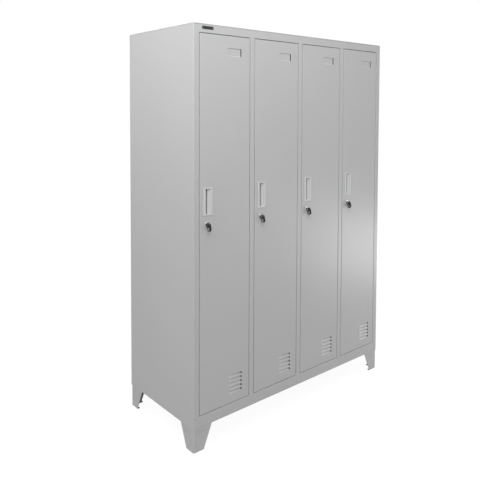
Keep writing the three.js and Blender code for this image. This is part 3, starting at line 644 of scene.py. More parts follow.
@dataclass
class Body:
    """The welded body: sides, top, floor, back, front frame and dividers."""

    sheet: float = 0.0008
    fold: float = 0.0021  # radius at the middle of the sheet
    gap: float = 0.0003
    frame_return: float = 0.020
    stop_lip: float = 0.007
    rear_flange: float = 0.015
    field_margin: float = 0.045  # round each pressed field of the back
    field_slope: float = 0.0015
    top_skirt: float = 0.004  # the top's folded edge
    rivet: float = 0.0026
    rivets_high: int = 9
    rivets_wide: int = 5
    buffer: float = 0.0035
    buffer_spots: tuple[float, ...] = (0.07, 0.5, 0.93)  # shares of the opening's height

    @property
    def top_edge(self) -> float:
        """The level at which the upright sheets end, under the top's folded edge."""
        return TOP_Z - self.top_skirt - self.gap

    def build(self) -> None:
        """Makes every piece of the body."""
        self.side(-1, "side_panel_left")
        self.side(1, "side_panel_right")
        self.top()
        self.floor()
        self.back()
        self.front_frame()
        for number in range(1, COMPARTMENTS):
            self.divider(number)
        self.rivets()
        self.buffers()

    def side(self, hand: int, node: str) -> None:
        """Makes a side with its front return and rear flange; hand is -1 on the left and 1 on the right."""
        low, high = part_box(node)
        half = self.sheet / 2
        outer = (low.x if hand < 0 else high.x) - hand * half
        rear = high.y - half
        inner = high.x if hand < 0 else low.x
        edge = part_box("front_frame")[0 if hand < 0 else 1].x + hand * self.gap
        line = [(edge, FACE_Y + half), (outer, FACE_Y + half), (outer, rear), (inner, rear)]
        shape = Shape()
        shape.sheet(line, Axis.Z, low.z, self.top_edge, self.fold)
        shape.finished(f"{node}_sheet", PAINT, CABINET, [node], self.sheet)

    def top(self) -> None:
        """Makes the top, a shallow tray turned down over the body."""
        low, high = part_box("top_panel")
        shape = Shape()
        faces = shape.block(Vector((low.x, low.y, TOP_Z - self.top_skirt)), high)
        shape.drop(shape.facing(Vector((0, 0, -1)), faces))
        edges = [edge for edge in shape.mesh.edges if len(edge.link_faces) == 2]
        shape.round(edges, self.fold + self.sheet / 2)
        shape.finished("top_sheet", PAINT, CABINET, ["top_panel"], self.sheet, -1)

    def floor(self) -> None:
        """Makes the floor, with its turned-up side flanges."""
        low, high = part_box("bottom_panel")
        half = self.sheet / 2
        line = [(low.x + half, high.z), (low.x + half, low.z + half)]
        line += [(high.x - half, low.z + half), (high.x - half, high.z)]
        shape = Shape()
        shape.sheet(line, Axis.Y, low.y, high.y, self.fold)
        shape.finished("floor_sheet", PAINT, CABINET, ["bottom_panel"], self.sheet)

    def back(self) -> None:
        """Makes the back sheet, with a shallow pressed field behind each compartment."""
        low, high = BACK
        shape = Shape()
        shape.block(low, Vector((high.x, high.y, self.top_edge)))
        for x in self.joints()[1:-1]:
            shape.slice(shape.facing(REAR), Axis.X, x)
        for face in shape.facing(REAR):
            shape.recess([face], self.field_margin, 0)
            shape.recess([face], self.field_slope, self.sheet / 2)
        shape.finished("back_sheet", PAINT, CABINET, ["back_panel"])

    def joints(self) -> list[float]:
        """Where the upright sheets meet the back, from left to right."""
        middles = [middle_of(f"divider_{number}").x for number in range(1, COMPARTMENTS)]
        inset = self.rear_flange / 2
        return [BACK[0].x + inset, *middles, BACK[1].x - inset]

    def front_frame(self) -> None:
        """Makes the front frame: one flush face, turned back round every opening, with the stop lips."""
        low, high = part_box("front_frame")
        half = self.sheet / 2
        front, deep = FACE_Y + half, self.frame_return - self.sheet
        openings = [opening(number) for number in range(1, COMPARTMENTS + 1)]
        shape = Shape()
        shape.sheet([(low.x, front), (high.x, front)], Axis.Z, low.z + half, self.top_edge - half, self.fold)
        bmesh.ops.recalc_face_normals(shape.mesh, faces=shape.faces())
        way = FRONT if shape.facing(FRONT) else REAR
        for x in (edge for pair in openings for edge in (pair[0] - half, pair[1] + half)):
            shape.slice(shape.facing(way), Axis.X, x)
        for z in (OPENING_LOW - half, OPENING_HIGH + half):
            shape.slice(shape.facing(way), Axis.Z, z)
        for left, right in openings:
            shape.drop(shape.within(way, (left, None, OPENING_LOW), (right, None, OPENING_HIGH)))
        rim = [
            edge
            for edge in shape.mesh.edges
            if edge.is_boundary
            and not all(vert.co.x < low.x + TINY for vert in edge.verts)
            and not all(vert.co.x > high.x - TINY for vert in edge.verts)
        ]
        returned, _ = shape.draw_out(rim)
        bmesh.ops.translate(shape.mesh, verts=returned, vec=REAR * deep)
        self.stop_lips(shape, openings, front + deep)
        shape.round(rim, self.fold)
        bmesh.ops.recalc_face_normals(shape.mesh, faces=shape.faces())
        shape.finished("front_frame_welded", PAINT, CABINET, ["front_frame"], self.sheet)

    def stop_lips(self, shape: Shape, openings: Sequence[Spot], behind: float) -> None:
        """Turns a lip out from the return on the left of each opening."""
        for left, _ in openings:
            edges = [
                edge
                for edge in shape.mesh.edges
                if all(
                    abs(vert.co.x - left) < self.sheet
                    and abs(vert.co.y - behind) < TINY
                    and OPENING_LOW - self.sheet < vert.co.z < OPENING_HIGH + self.sheet
                    for vert in edge.verts
                )
            ]
            lip, _ = shape.draw_out(edges)
            bmesh.ops.translate(shape.mesh, verts=lip, vec=Axis.X.way * self.stop_lip)

    def divider(self, number: int) -> None:
        """Makes a divider: a flat sheet from the back into the channel of the stile before it."""
        node = f"divider_{number}"
        low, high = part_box(node)
        behind = FACE_Y + self.frame_return + self.gap
        shape = Shape()
        shape.block(Vector((low.x, behind, low.z)), high)
        ends = OPENING_LOW + self.gap, OPENING_HIGH - self.gap
        for z in ends:
            shape.slice(shape.facing(FRONT), Axis.Z, z)
        tongue = shape.within(FRONT, (None, None, ends[0]), (None, None, ends[1]))
        shape.push(tongue, FRONT * (behind - low.y))
        shape.finished(f"{node}_web", PAINT, CABINET, [node], edge=0.0001)

    def rivets(self) -> None:
        """Makes the rivets of the back as one piece."""
        shape = Shape()
        low, high = BACK
        inset = self.rear_flange / 2
        rows = [
            low.z + inset + (high.z - low.z - 3 * inset) * i / (self.rivets_high - 1)
            for i in range(self.rivets_high)
        ]
        spots = [(x, z) for x in self.joints() for z in rows]
        ends = (rows[0], rows[-1])
        for left, right in zip(self.joints(), self.joints()[1:]):
            inner = [left + (right - left) * i / self.rivets_wide for i in range(1, self.rivets_wide)]
            spots += [(x, z) for x in inner for z in ends]
        radius = self.rivet
        profile = [(0, radius * 0.45), (radius * 0.55, radius * 0.36), (radius, 0.0)]
        for x, z in spots:
            shape.turned(profile, Vector((x, high.y, z)), Axis.Y, 12)
        shape.finished("back_rivets", PAINT, CABINET, edge=0)

    def buffers(self) -> None:
        """Makes the rubber buffers on the stop lips as one piece."""
        shape = Shape()
        lips = [opening(number)[0] + self.stop_lip / 2 for number in range(1, COMPARTMENTS + 1)]
        seat = FACE_Y + self.frame_return - self.sheet
        door_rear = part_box("door_1")[1].y
        reach = seat - door_rear
        profile = [(0, -reach), (self.buffer * 0.6, -reach), (self.buffer, -reach / 2), (self.buffer, 0)]
        for x in lips:
            for share in self.buffer_spots:
                spot = Vector((x, seat, OPENING_LOW + (OPENING_HIGH - OPENING_LOW) * share))
                shape.turned(profile[::-1], spot, Axis.Y, 16)
        shape.finished("door_buffers", RUBBER, CABINET, edge=0)


@dataclass
class Inside:
    """A compartment's hat shelf and coat rail."""

    sheet: float = 0.0008
    fold: float = 0.0021
    front_flange: float = 0.022
    hem: float = 0.010
    rear_flange: float = 0.014
    tube: float = 0.009
    wall: float = 0.0015
    flange_thickness: float = 0.003
    screw: float = 0.0024

    def build(self, number: int) -> None:
        """Makes one compartment's pieces."""
        self.shelf(number)
        self.coat_rail(number)

    def shelf(self, number: int) -> None:
        """Makes a hat shelf, hemmed in front and turned down at the rear."""
        low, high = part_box(f"shelf_{number}")
        half = self.sheet / 2
        top, front, rear = high.z - half, low.y + half, high.y - half
        hem_z = top - self.front_flange + self.sheet
        line = [(front + self.hem, hem_z), (front, hem_z), (front, top), (rear, top)]
        line.append((rear, top - self.rear_flange))
        shape = Shape()
        shape.sheet(line, Axis.X, low.x, high.x, self.fold)
        shape.finished(f"shelf_{number}_sheet", PAINT, CABINET, [f"shelf_{number}"], self.sheet)

    def coat_rail(self, number: int) -> None:
        """Makes a coat rail: a drawn tube with a cupped flange and two screws at each end."""
        low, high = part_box(f"coat_rail_{number}")
        centre = Vector((low.x, (low.y + high.y) / 2, (low.z + high.z) / 2))
        length = high.x - low.x
        flange = (high.z - low.z) / 2
        thick = self.flange_thickness
        bore = self.tube - self.wall
        tube = Shape()
        inner = thick / 2
        line = [(bore, inner), (self.tube, inner), (self.tube, length - inner), (bore, length - inner)]
        tube.turned(line, centre, Axis.X, 40, ring=True)
        node = f"coat_rail_{number}"
        tube.finished(f"{node}_tube", DRAWN_STEEL, CABINET, [node])
        cup = self.tube + self.wall
        line = [(0, 0), (flange, 0), (flange, thick / 3), (flange - thick, thick * 0.7)]
        line += [(cup + thick / 2, thick), (cup, thick), (cup, 2 * thick), (self.tube, 2 * thick)]
        line += [(self.tube, thick / 2), (0, thick / 2)]
        cups = Shape()
        cups.turned(line, centre, Axis.X)
        mirrored = [(radius, length - along) for radius, along in line]
        cups.turned(mirrored, centre, Axis.X)
        cups.finished(f"{node}_flanges", ZINC, CABINET)
        screws = Shape()
        reach = (flange + cup) / 2
        for x, inward in ((low.x, 1), (high.x, -1)):
            for up in (-reach, reach):
                spot = Vector((x, centre.y, centre.z + up))
                head = [(0, thick), (self.screw * 0.6, thick * 0.95), (self.screw, thick / 2)]
                screws.turned([(r, inward * along) for r, along in head], spot, Axis.X, 16)
        screws.finished(f"{node}_screws", ZINC, CABINET, edge=0)


@dataclass
class NamePlate:
    """The small blank plate on the top rail, held by two pins."""

    node: str = "name_plate"
    corner: float = 0.0015
    border: float = 0.0009
    border_height: float = 0.00025
    pin: float = 0.0011
    pin_inset: float = 0.0042

    def build(self) -> None:
        """Makes the plate and its pins."""
        low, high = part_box(self.node)
        shape = Shape()
        shape.block(low, high)
        shape.round(shape.edges_along(Axis.Y), self.corner, 4)
        shape.recess(shape.facing(FRONT), self.border, self.border_height)
        shape.finished("name_plate_blank", DARK_PLATE, CABINET, [self.node])
        pins = Shape()
        middle = (low.z + high.z) / 2
        for x in (low.x + self.pin_inset, high.x - self.pin_inset):
            line = [(self.pin, 0), (self.pin * 0.7, -self.pin * 0.4), (0, -self.pin * 0.5)]
            pins.turned(line, Vector((x, low.y + 0.0002, middle)), Axis.Y, 16)
        pins.finished("name_plate_pins", ZINC, CABINET, edge=0)


@dataclass
class Leg:
    """A leg pressed from sheet: two tapering faces with sunk panels, and a narrow flat down the corner."""

    sheet: float = 0.002
    corner: float = 0.004
    crease: float = 0.012  # from the corner to each panel
    top_width: float = 0.092
    foot_width: float = 0.052
    margin: float = 0.013
    sink: float = 0.002
    slope: float = 0.003
    fold: float = 0.0025
    shoe: float = 0.005  # height of the plastic shoe
    shoe_wall: float = 0.0012

    def build(self, node: str) -> None:
        """Makes one leg with its shoe."""
        low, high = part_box(node)
        hand = 1 if low.x < 0 else -1  # which way the leg runs from its outer corner
        deep = 1 if low.y < 0 else -1
        origin = Vector((low.x if hand > 0 else high.x, low.y if deep > 0 else high.y, 0))
        place = Matrix.Translation(origin) @ Matrix.Diagonal((hand, deep, 1, 1))
        self.pressing(node, place, high.z)
        self.foot(node, place)

    def pressing(self, node: str, place: Matrix, top: float) -> None:
        """Makes the pressed sheet of a leg, drawn in a corner frame and put in place by a matrix."""
        half = self.sheet / 2
        line = [(self.top_width, half), (self.corner, half), (half, self.corner), (half, self.top_width)]
        shape = Shape()
        shape.sheet(line, Axis.Z, self.shoe / 2, top, self.fold)
        narrow = self.foot_width - self.top_width
        for vert in shape.mesh.verts:
            if vert.co.z < top / 2:
                vert.co.x += narrow if vert.co.x > self.top_width - TINY else 0
                vert.co.y += narrow if vert.co.y > self.top_width - TINY else 0
        for along, way in ((Axis.X, Vector((0, -1, 0))), (Axis.Y, Vector((-1, 0, 0)))):
            self.panel(shape, along, way, top)
        rim = [edge for edge in shape.mesh.edges if edge.is_boundary]
        upper = [edge for edge in rim if all(vert.co.z > top - TINY for vert in edge.verts)]
        for vert in shape.draw_out(upper)[0]:
            vert.co.x += self.margin if vert.co.x < self.margin + half else 0
            vert.co.y += self.margin if vert.co.y < self.margin + half else 0
        bmesh.ops.recalc_face_normals(shape.mesh, faces=shape.faces())
        self.set_down(shape, place)
        shape.finished(f"{node}_pressing", PAINT, CABINET, [node], self.sheet, edge=0.0005)

    def panel(self, shape: Shape, along: Axis, way: Vector, top: float) -> None:
        """Sinks the panel of the face that runs along an axis and looks one way."""
        shape.mesh.normal_update()
        for face in shape.mesh.faces:
            if face.normal.dot(way) < -0.99:
                face.normal_flip()
        side = along.way
        lean = (self.top_width - self.foot_width) / top
        near = self.crease
        edge_way = (side - Vector((0, 0, lean))).normalized()
        far = side * (self.top_width - self.margin) + Vector((0, 0, top))
        cuts = [
            (side * near, side),
            (far, edge_way),
            (Vector((0, 0, self.margin + self.shoe / 2)), Vector((0, 0, 1))),
            (Vector((0, 0, top - self.margin)), Vector((0, 0, 1))),
        ]
        for point, across in cuts:
            shape.cut(shape.facing(way), point, across)
        for face in shape.facing(way):
            middle = face.calc_center_median()
            upright = self.margin + self.shoe / 2 < middle.z < top - self.margin
            if upright and middle.dot(side) > near and (middle - far).dot(edge_way) < 0:
                shape.recess([face], self.slope, self.sink)

    def foot(self, node: str, place: Matrix) -> None:
        """Makes the plastic shoe that the leg's lower edge sits in."""
        width = self.foot_width + self.shoe_wall / 2
        wall = self.shoe_wall / 2
        line = [(width, wall), (self.corner, wall), (wall, self.corner), (wall, width)]
        shape = Shape()
        shape.sheet(line, Axis.Z, 0, self.shoe, self.fold)
        bottom = [e for e in shape.mesh.edges if e.is_boundary and all(v.co.z < TINY for v in e.verts)]
        for vert in shape.draw_out(bottom)[0]:
            vert.co.x += self.margin if vert.co.x < self.margin else 0
            vert.co.y += self.margin if vert.co.y < self.margin else 0
        for vert in shape.mesh.verts:
            vert.co.z = max(vert.co.z, wall)
        bmesh.ops.recalc_face_normals(shape.mesh, faces=shape.faces())
        self.set_down(shape, place)
        shape.finished(f"{node}_shoe", PULL_GREY, CABINET, (), self.shoe_wall, edge=0.0003)

    def set_down(self, shape: Shape, place: Matrix) -> None:
        """Puts a leg's piece in its corner, with its faces looking out again if that mirrors it."""
        bmesh.ops.transform(shape.mesh, matrix=place, verts=list(shape.mesh.verts))
        if place.determinant() < 0:
            bmesh.ops.reverse_faces(shape.mesh, faces=list(shape.mesh.faces))


# ---- Doors ---------------------------------------------------------------------------------------


@dataclass
class Louvres:
    """Louvres low on the hinge side, each a leaf that is still flush at one end and gapes at the other."""

    count: int = 5
    pitch: float = 0.0174
    length: float = 0.069
    height: float = 0.009
    depth: float = 0.0065
    leaf_rise: float = 0.006  # height of the leaf's free edge at its deep end
    shallow: float = 0.0005  # how far the leaf's other end is set in
    end_gap: float = 0.004
    top_gap: float = 0.0005
    from_edge: float = 0.041
    rise: float = 0.041
    bend: float = 0.0012


@dataclass
class LabelPocket:
    """A shallow tray pressed inwards, open at its hinge-side end."""

    length: float = 0.072
    height: float = 0.033
    depth: float = 0.002
    slope: float = 0.0025
    mouth: float = 0.003
    from_edge: float = 0.049
    drop: float = 0.049


@dataclass
class Door:
    """A door pressed as a shallow tray, with its louvres, label pocket, stiffener and hinge pins."""

    sheet: float = 0.0008
    fold: float = 0.0028
    hem: float = 0.011  # width of the flange turned in along the rear edge
    pull_rim: float = 0.0027
    lock_hole: float = 0.0098
    lock_land: float = 0.011
    stiffener_width: float = 0.060
    stiffener_depth: float = 0.008
    stiffener_flange: float = 0.012
    stiffener_end: float = 0.150
    welds: int = 9
    weld: float = 0.0026
    louvres: Louvres = field(default_factory=Louvres)
    label: LabelPocket = field(default_factory=LabelPocket)

    def build(self, number: int) -> None:
        """Makes one door."""
        self.panel(number)
        self.stiffener(number)
        for place in ("lower", "upper"):
            self.pin(number, place)

    def panel(self, number: int) -> None:
        """Makes the door's sheet with all that is pressed into it and cut out of it."""
        low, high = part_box(f"door_{number}")
        shape = Shape()
        faces = shape.block(low, high)
        rear = shape.facing(REAR, faces)
        shape.recess(rear, self.hem, 0)
        shape.drop(rear)
        shape.round(shape.facing(FRONT)[0].edges, self.fold)
        self.cut_pull_hole(shape, number)
        self.cut_lock_hole(shape, number)
        self.press_label(shape, low, high)
        for i in range(self.louvres.count):
            self.lance_louvre(shape, low, high, i)
        shape.finished(f"door_{number}_sheet", PAINT, f"door_{number}", [f"door_{number}"], self.sheet, -1)

    def window(self, shape: Shape, xs: Sequence[float], zs: Sequence[float]) -> list[BMFace]:
        """Cuts the front along some x and z places, and returns the faces within the outermost."""
        for z in zs:
            shape.slice(self.front(shape), Axis.Z, z)
        for x in xs:
            shape.slice(self.front(shape, zs=(zs[0], zs[-1])), Axis.X, x)
        return self.front(shape, (xs[0], xs[-1]), (zs[0], zs[-1]))

    def front(self, shape: Shape, xs: Spot = EVERYWHERE, zs: Spot = EVERYWHERE) -> list[BMFace]:
        """The faces of the front whose middles lie within limits."""
        found = shape.within(FRONT, (xs[0], FACE_Y - TINY, zs[0]), (xs[1], FACE_Y + TINY, zs[1]))
        return [face for face in found if all(vert.co.y < FACE_Y + TINY for vert in face.verts)]

    def cut_pull_hole(self, shape: Shape, number: int) -> None:
        """Cuts the hole that the pull sits in."""
        low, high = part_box(f"pull_{number}")
        rim = self.pull_rim
        shape.drop(self.window(shape, (low.x + rim, high.x - rim), (low.z + rim, high.z - rim)))

    def cut_lock_hole(self, shape: Shape, number: int) -> None:
        """Cuts the round hole of the lock."""
        middle = middle_of(f"lock_housing_{number}")
        middle.y = FACE_Y
        land = self.lock_land
        faces = self.window(shape, (middle.x - land, middle.x + land), (middle.z - land, middle.z + land))
        shape.round_hole(faces[0], middle, Axis.Y, self.lock_hole)

    def press_label(self, shape: Shape, low: Vector, high: Vector) -> None:
        """Presses the label pocket and opens its mouth."""
        label = self.label
        x1 = high.x - label.from_edge
        x0 = x1 - label.length
        z1 = high.z - label.drop
        z0 = z1 - label.height
        mouth = x1 - label.mouth
        xs = (x0, x0 + label.slope, mouth, x1)
        zs = (z0, z0 + label.slope, z1 - label.slope, z1)
        faces = self.window(shape, xs, zs)
        sunk = [
            vert
            for vert in corners_of(faces)
            if xs[1] - TINY < vert.co.x < mouth + TINY and zs[1] - TINY < vert.co.z < zs[2] + TINY
        ]
        shape.drop(self.front(shape, (mouth, x1), (z0, z1)))
        for vert in sunk:
            vert.co.y += label.depth

    def lance_louvre(self, shape: Shape, low: Vector, high: Vector, i: int) -> None:
        """Cuts one louvre's slot and turns its strip inwards."""
        louvre = self.louvres
        x1 = high.x - louvre.from_edge
        x0 = x1 - louvre.length
        z0 = low.z + louvre.rise + i * louvre.pitch
        z1 = z0 + louvre.height
        gap = louvre.end_gap
        faces = self.window(shape, (x0, x1 - gap, x1), (z0, z1))
        strip = self.front(shape, (x0, x1 - gap), (z0, z1))[0]
        root = [edge for edge in strip.edges if all(vert.co.z < z0 + TINY for vert in edge.verts)]
        shape.drop(faces)
        corners, leaf = shape.draw_out(root)
        for vert in corners:
            deep = vert.co.x > x0 + TINY
            vert.co.y += louvre.depth if deep else louvre.shallow
            vert.co.z += louvre.leaf_rise if deep else louvre.height - louvre.top_gap
        shape.mesh.normal_update()
        for face in leaf:
            if face.normal.y > 0:
                face.normal_flip()
        shape.round(root, louvre.bend, 3)

    def stiffener(self, number: int) -> None:
        """Makes the hat section welded down the inside of the door, with its spot welds."""
        low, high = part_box(f"door_{number}")
        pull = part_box(f"pull_{number}")
        louvre_start = high.x - self.louvres.from_edge - self.louvres.length
        middle = (pull[1].x + louvre_start) / 2
        half = self.stiffener_width / 2
        near = FACE_Y + 1.6 * self.sheet
        far = FACE_Y + self.sheet + self.stiffener_depth
        lean = self.stiffener_depth / 2
        side = [(half + self.stiffener_flange, near), (half, near), (half - lean, far)]
        line = [(middle - x, y) for x, y in side] + [(middle + x, y) for x, y in reversed(side)]
        bottom, top = low.z + self.stiffener_end, high.z - self.stiffener_end
        shape = Shape()
        shape.sheet(line, Axis.Z, bottom, top, self.fold / 2)
        shape.finished(f"door_{number}_stiffener", PAINT, f"door_{number}", (), self.sheet)
        dots = Shape()
        profile = [(self.weld, 0), (self.weld * 0.8, self.weld * 0.16), (0, self.weld * 0.1)]
        for hand in (-1, 1):
            for i in range(self.welds):
                z = bottom + (top - bottom) * (i + 0.5) / self.welds
                x = middle + hand * (half + self.stiffener_flange * 0.6)
                dots.turned(profile, Vector((x, near + self.sheet / 2, z)), Axis.Y, 14)
        dots.finished(f"door_{number}_welds", PAINT, f"door_{number}", edge=0)

    def pin(self, number: int, place: str) -> None:
        """Makes a hinge pin: a shank with a collar between the frame and the door."""
        node = f"hinge_pin_{place}_{number}"
        low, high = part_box(node)
        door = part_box(f"door_{number}")
        collar = (high.x - low.x) / 2
        shank = collar * 0.55
        centre = Vector(((low.x + high.x) / 2, (low.y + high.y) / 2, 0))
        if place == "lower":
            start, end = OPENING_LOW, door[0].z
        else:
            start, end = door[1].z, OPENING_HIGH
        tip = shank * 0.6
        profile = [(0, low.z), (tip, low.z), (shank, low.z + shank - tip), (shank, start)]
        profile += [(collar, start), (collar, end), (shank, end)]
        profile += [(shank, high.z - shank + tip), (tip, high.z), (0, high.z)]
        shape = Shape()
        shape.turned(profile, centre, Axis.Z, 28)
        shape.finished(f"{node}_turned", ZINC, CABINET, [node])


@dataclass
class Pull:
    """A moulded flush pull: a lip to hook the fingers behind, a deep slot and a ramp."""

    corner: float = 0.003
    rim: float = 0.003
    wall: float = 0.002
    lip: float = 0.012
    lip_thickness: float = 0.0025
    undercut: float = 0.005
    pocket: float = 0.011
    shoulder: float = 0.0045
    far_rim: float = 0.007

    def build(self, number: int) -> None:
        """Makes one pull."""
        node = f"pull_{number}"
        low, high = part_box(node)
        back = FACE_Y - 0.0003
        shape = Shape()
        shape.block(low, Vector((high.x, back, high.z)))
        shape.round(shape.edges_along(Axis.Y), self.corner, 6)
        slot_end = low.x + self.lip + self.pocket
        far = high.x - self.far_rim
        end = self.rim + self.wall
        self.cavity(shape, low, high, (low.x + self.lip, slot_end, far), (low.z + end, high.z - end))
        self.cup(shape, low, high, back)
        shape.finished(f"{node}_moulding", PULL_GREY, f"door_{number}", [node], edge=0.0007, edge_steps=4)

    def cavity(
        self, shape: Shape, low: Vector, high: Vector, xs: Sequence[float], zs: Sequence[float]
    ) -> None:
        """Sinks the slot and the ramp into the front.

        Args:
            shape: The pull's shape.
            low: The pull's lowest corner.
            high: Its highest corner.
            xs: The slot's start, the slot's end and the ramp's end.
            zs: The bottom and the top of both.
        """
        start, slot_end, far = xs
        for x in xs:
            shape.slice(shape.facing(FRONT), Axis.X, x)
        for z in zs:
            shape.slice(shape.within(FRONT, (start, None, None), (far, None, None)), Axis.Z, z)
        region = shape.within(FRONT, (start, None, zs[0]), (far, low.y + TINY, zs[1]))
        moved = shape.push(region, REAR * self.lip_thickness)
        face_y = low.y + self.lip_thickness
        for vert in corners_of(moved):
            if abs(vert.co.x - slot_end) < TINY:
                vert.co.y = FACE_Y + self.shoulder
            elif vert.co.x > slot_end:
                vert.co.y = FACE_Y
        slot = [face for face in moved if face.calc_center_median().x < slot_end]
        slot = shape.push(slot, Vector())
        for vert in corners_of(slot):
            if vert.co.x < slot_end - TINY:
                vert.co.x -= self.undercut
                vert.co.y = face_y + TINY
        under_ramp = FACE_Y + self.shoulder + self.wall
        floor = high.y - self.wall
        inner = high.x - self.rim - self.wall
        for depth, right in ((under_ramp, slot_end), (under_ramp + TINY, inner), (floor, None)):
            slot = shape.push(slot, Vector())
            for vert in corners_of(slot):
                vert.co.y = depth
                if right is not None and vert.co.x > slot_end - TINY:
                    vert.co.x = right

    def cup(self, shape: Shape, low: Vector, high: Vector, back: float) -> None:
        """Draws out the cup behind the door."""
        xs = (low.x + self.rim, high.x - self.rim)
        zs = (low.z + self.rim, high.z - self.rim)
        for x in xs:
            shape.slice(self.rear(shape, back), Axis.X, x)
        for z in zs:
            shape.slice(self.rear(shape, back, xs), Axis.Z, z)
        shape.push(self.rear(shape, back, xs, zs), REAR * (high.y - back))

    def rear(self, shape: Shape, back: float, xs: Spot = EVERYWHERE, zs: Spot = EVERYWHERE) -> list[BMFace]:
        """The faces of the frame's rear whose middles lie within limits."""
        return shape.within(REAR, (xs[0], back - TINY, zs[0]), (xs[1], back + TINY, zs[1]))


# ---- Locks and keys ------------------------------------------------------------------------------


@dataclass
class Lock:
    """A cam lock: bezel and barrel, nut, plug, cam and the cam's screw."""

    bezel: float = 0.012  # outer radius
    bezel_round: float = 0.0024  # how wide its rounded edge is, and how far that falls back
    bezel_fall: float = 0.0018
    bezel_steps: int = 4
    mouth: tuple[Spot, ...] = ((0.0, 0.0008), (0.0006, 0.0001), (0.0014, 0.0))  # widening of the bore
    proud: float = 0.0026
    seat: float = 0.0003  # clearance under the bezel
    body: float = 0.0095
    bore: float = 0.0072
    thread_start: float = 0.001
    thread_pitch: float = 0.0011
    thread_depth: float = 0.0005
    nut: float = 0.0125
    nut_height: float = 0.005
    washer: Spot = (0.0008, 0.0016)  # where it starts and ends behind the door's face
    washer_rim: float = 0.0012
    keyway_width: float = 0.0026
    keyway_height: float = 0.0086
    keyway_depth: float = 0.0172
    screw: float = 0.0055
    screw_slot: float = 0.0012
    cam_width: float = 0.016

    def build(self, number: int) -> None:
        """Makes one lock."""
        housing = f"lock_housing_{number}"
        axis = middle_of(housing)
        axis.y = FACE_Y
        self.barrel(number, axis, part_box(housing)[1].y - FACE_Y)
        self.nut_piece(number, axis)
        self.plug(number, axis)
        self.cam(number, axis)

    def barrel(self, number: int, axis: Vector, length: float) -> None:
        """Makes the bezel with its threaded barrel."""
        radius, flat = self.bezel, self.bezel - self.bezel_round
        profile = [(self.bore, length)]
        profile += [(self.bore + wider, along - self.proud) for wider, along in self.mouth]
        profile.append((flat, -self.proud))
        for i in range(1, self.bezel_steps + 1):
            turn = i * math.pi / 2 / self.bezel_steps
            bulge = self.bezel_fall * (1 - math.cos(turn))
            profile.append((flat + self.bezel_round * math.sin(turn), -self.proud + bulge))
        plain = self.thread_start
        profile += [(radius, -self.seat), (self.body, -self.seat), (self.body, plain)]
        turns = int((length - 2 * plain) / self.thread_pitch)
        for i in range(turns):
            along = plain + i * self.thread_pitch
            profile.append((self.body - self.thread_depth, along + self.thread_pitch * 0.3))
            profile.append((self.body, along + self.thread_pitch * 0.7))
        profile.append((self.body - self.thread_depth, length))
        shape = Shape()
        shape.turned(profile, axis, Axis.Y, 64, ring=True)
        node = f"lock_housing_{number}"
        shape.finished(f"lock_{number}_barrel", CHROME, f"door_{number}", [node], edge=0)

    def nut_piece(self, number: int, axis: Vector) -> None:
        """Makes the hexagonal nut and its toothed washer's plain ring."""
        near, far = self.washer
        shape = Shape()
        middle = axis + REAR * (far + self.nut_height / 2 - TINY * 10)
        shape.rod(middle, Axis.Y, self.nut, self.nut_height, 6)
        shape.finished(f"lock_{number}_nut", ZINC, f"door_{number}", edge=0.0006, edge_steps=3)
        washer = Shape()
        rim = self.nut + self.washer_rim
        line = [(self.body, near), (rim, near), (rim, far), (self.body, far)]
        washer.turned(line, axis, Axis.Y, 40, ring=True)
        washer.finished(f"lock_{number}_washer", ZINC, f"door_{number}", edge=0.0001)

    def plug(self, number: int, axis: Vector) -> None:
        """Makes the plug with its keyway."""
        low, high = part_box(f"lock_plug_{number}")
        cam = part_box(f"lock_cam_{number}")
        radius = (high.x - low.x) / 2
        front = low.y - FACE_Y
        rear = cam[0].y - FACE_Y - 0.0003
        shape = Shape()
        face = [(0, rear), (radius, rear), (radius, front + 0.0003), (radius - 0.0003, front), (0, front)]
        shape.turned(face[::-1], axis, Axis.Y, 48)
        bmesh.ops.dissolve_limit(
            shape.mesh,
            angle_limit=math.radians(1),
            verts=list(shape.mesh.verts),
            edges=list(shape.mesh.edges),
        )
        half_w, half_h = self.keyway_width / 2, self.keyway_height / 2
        left, right = axis.x - half_w, axis.x + half_w
        bottom, top = axis.z - half_h, axis.z + half_h
        for x in (left, right):
            shape.slice(shape.facing(FRONT), Axis.X, x)
        for z in (bottom, top):
            shape.slice(shape.within(FRONT, (left, None, None), (right, None, None)), Axis.Z, z)
        keyway = shape.within(FRONT, (left, None, bottom), (right, None, top))
        shape.push(keyway, REAR * (self.keyway_depth - front))
        node = f"lock_plug_{number}"
        shape.finished(f"lock_{number}_plug", NICKEL, f"lock_{number}", [node], edge=0.00025)
        self.cam_screw(number, axis, cam, high)

    def cam_screw(self, number: int, axis: Vector, cam: tuple[Vector, Vector], high: Vector) -> None:
        """Makes the slotted screw that holds the cam."""
        start = cam[1].y
        height = high.y - start
        screw = Shape()
        screw.rod(axis + Vector((0, start + height / 2 - FACE_Y, 0)), Axis.Y, self.screw, height, 32)
        half = self.screw_slot / 2
        for z in (axis.z - half, axis.z + half):
            screw.slice(screw.facing(REAR), Axis.Z, z)
        slot = screw.within(REAR, (None, None, axis.z - half), (None, None, axis.z + half))
        screw.push(slot, Vector((0, -height * 0.55, 0)))
        screw.finished(f"lock_{number}_cam_screw", ZINC, f"lock_{number}", edge=0.0003)

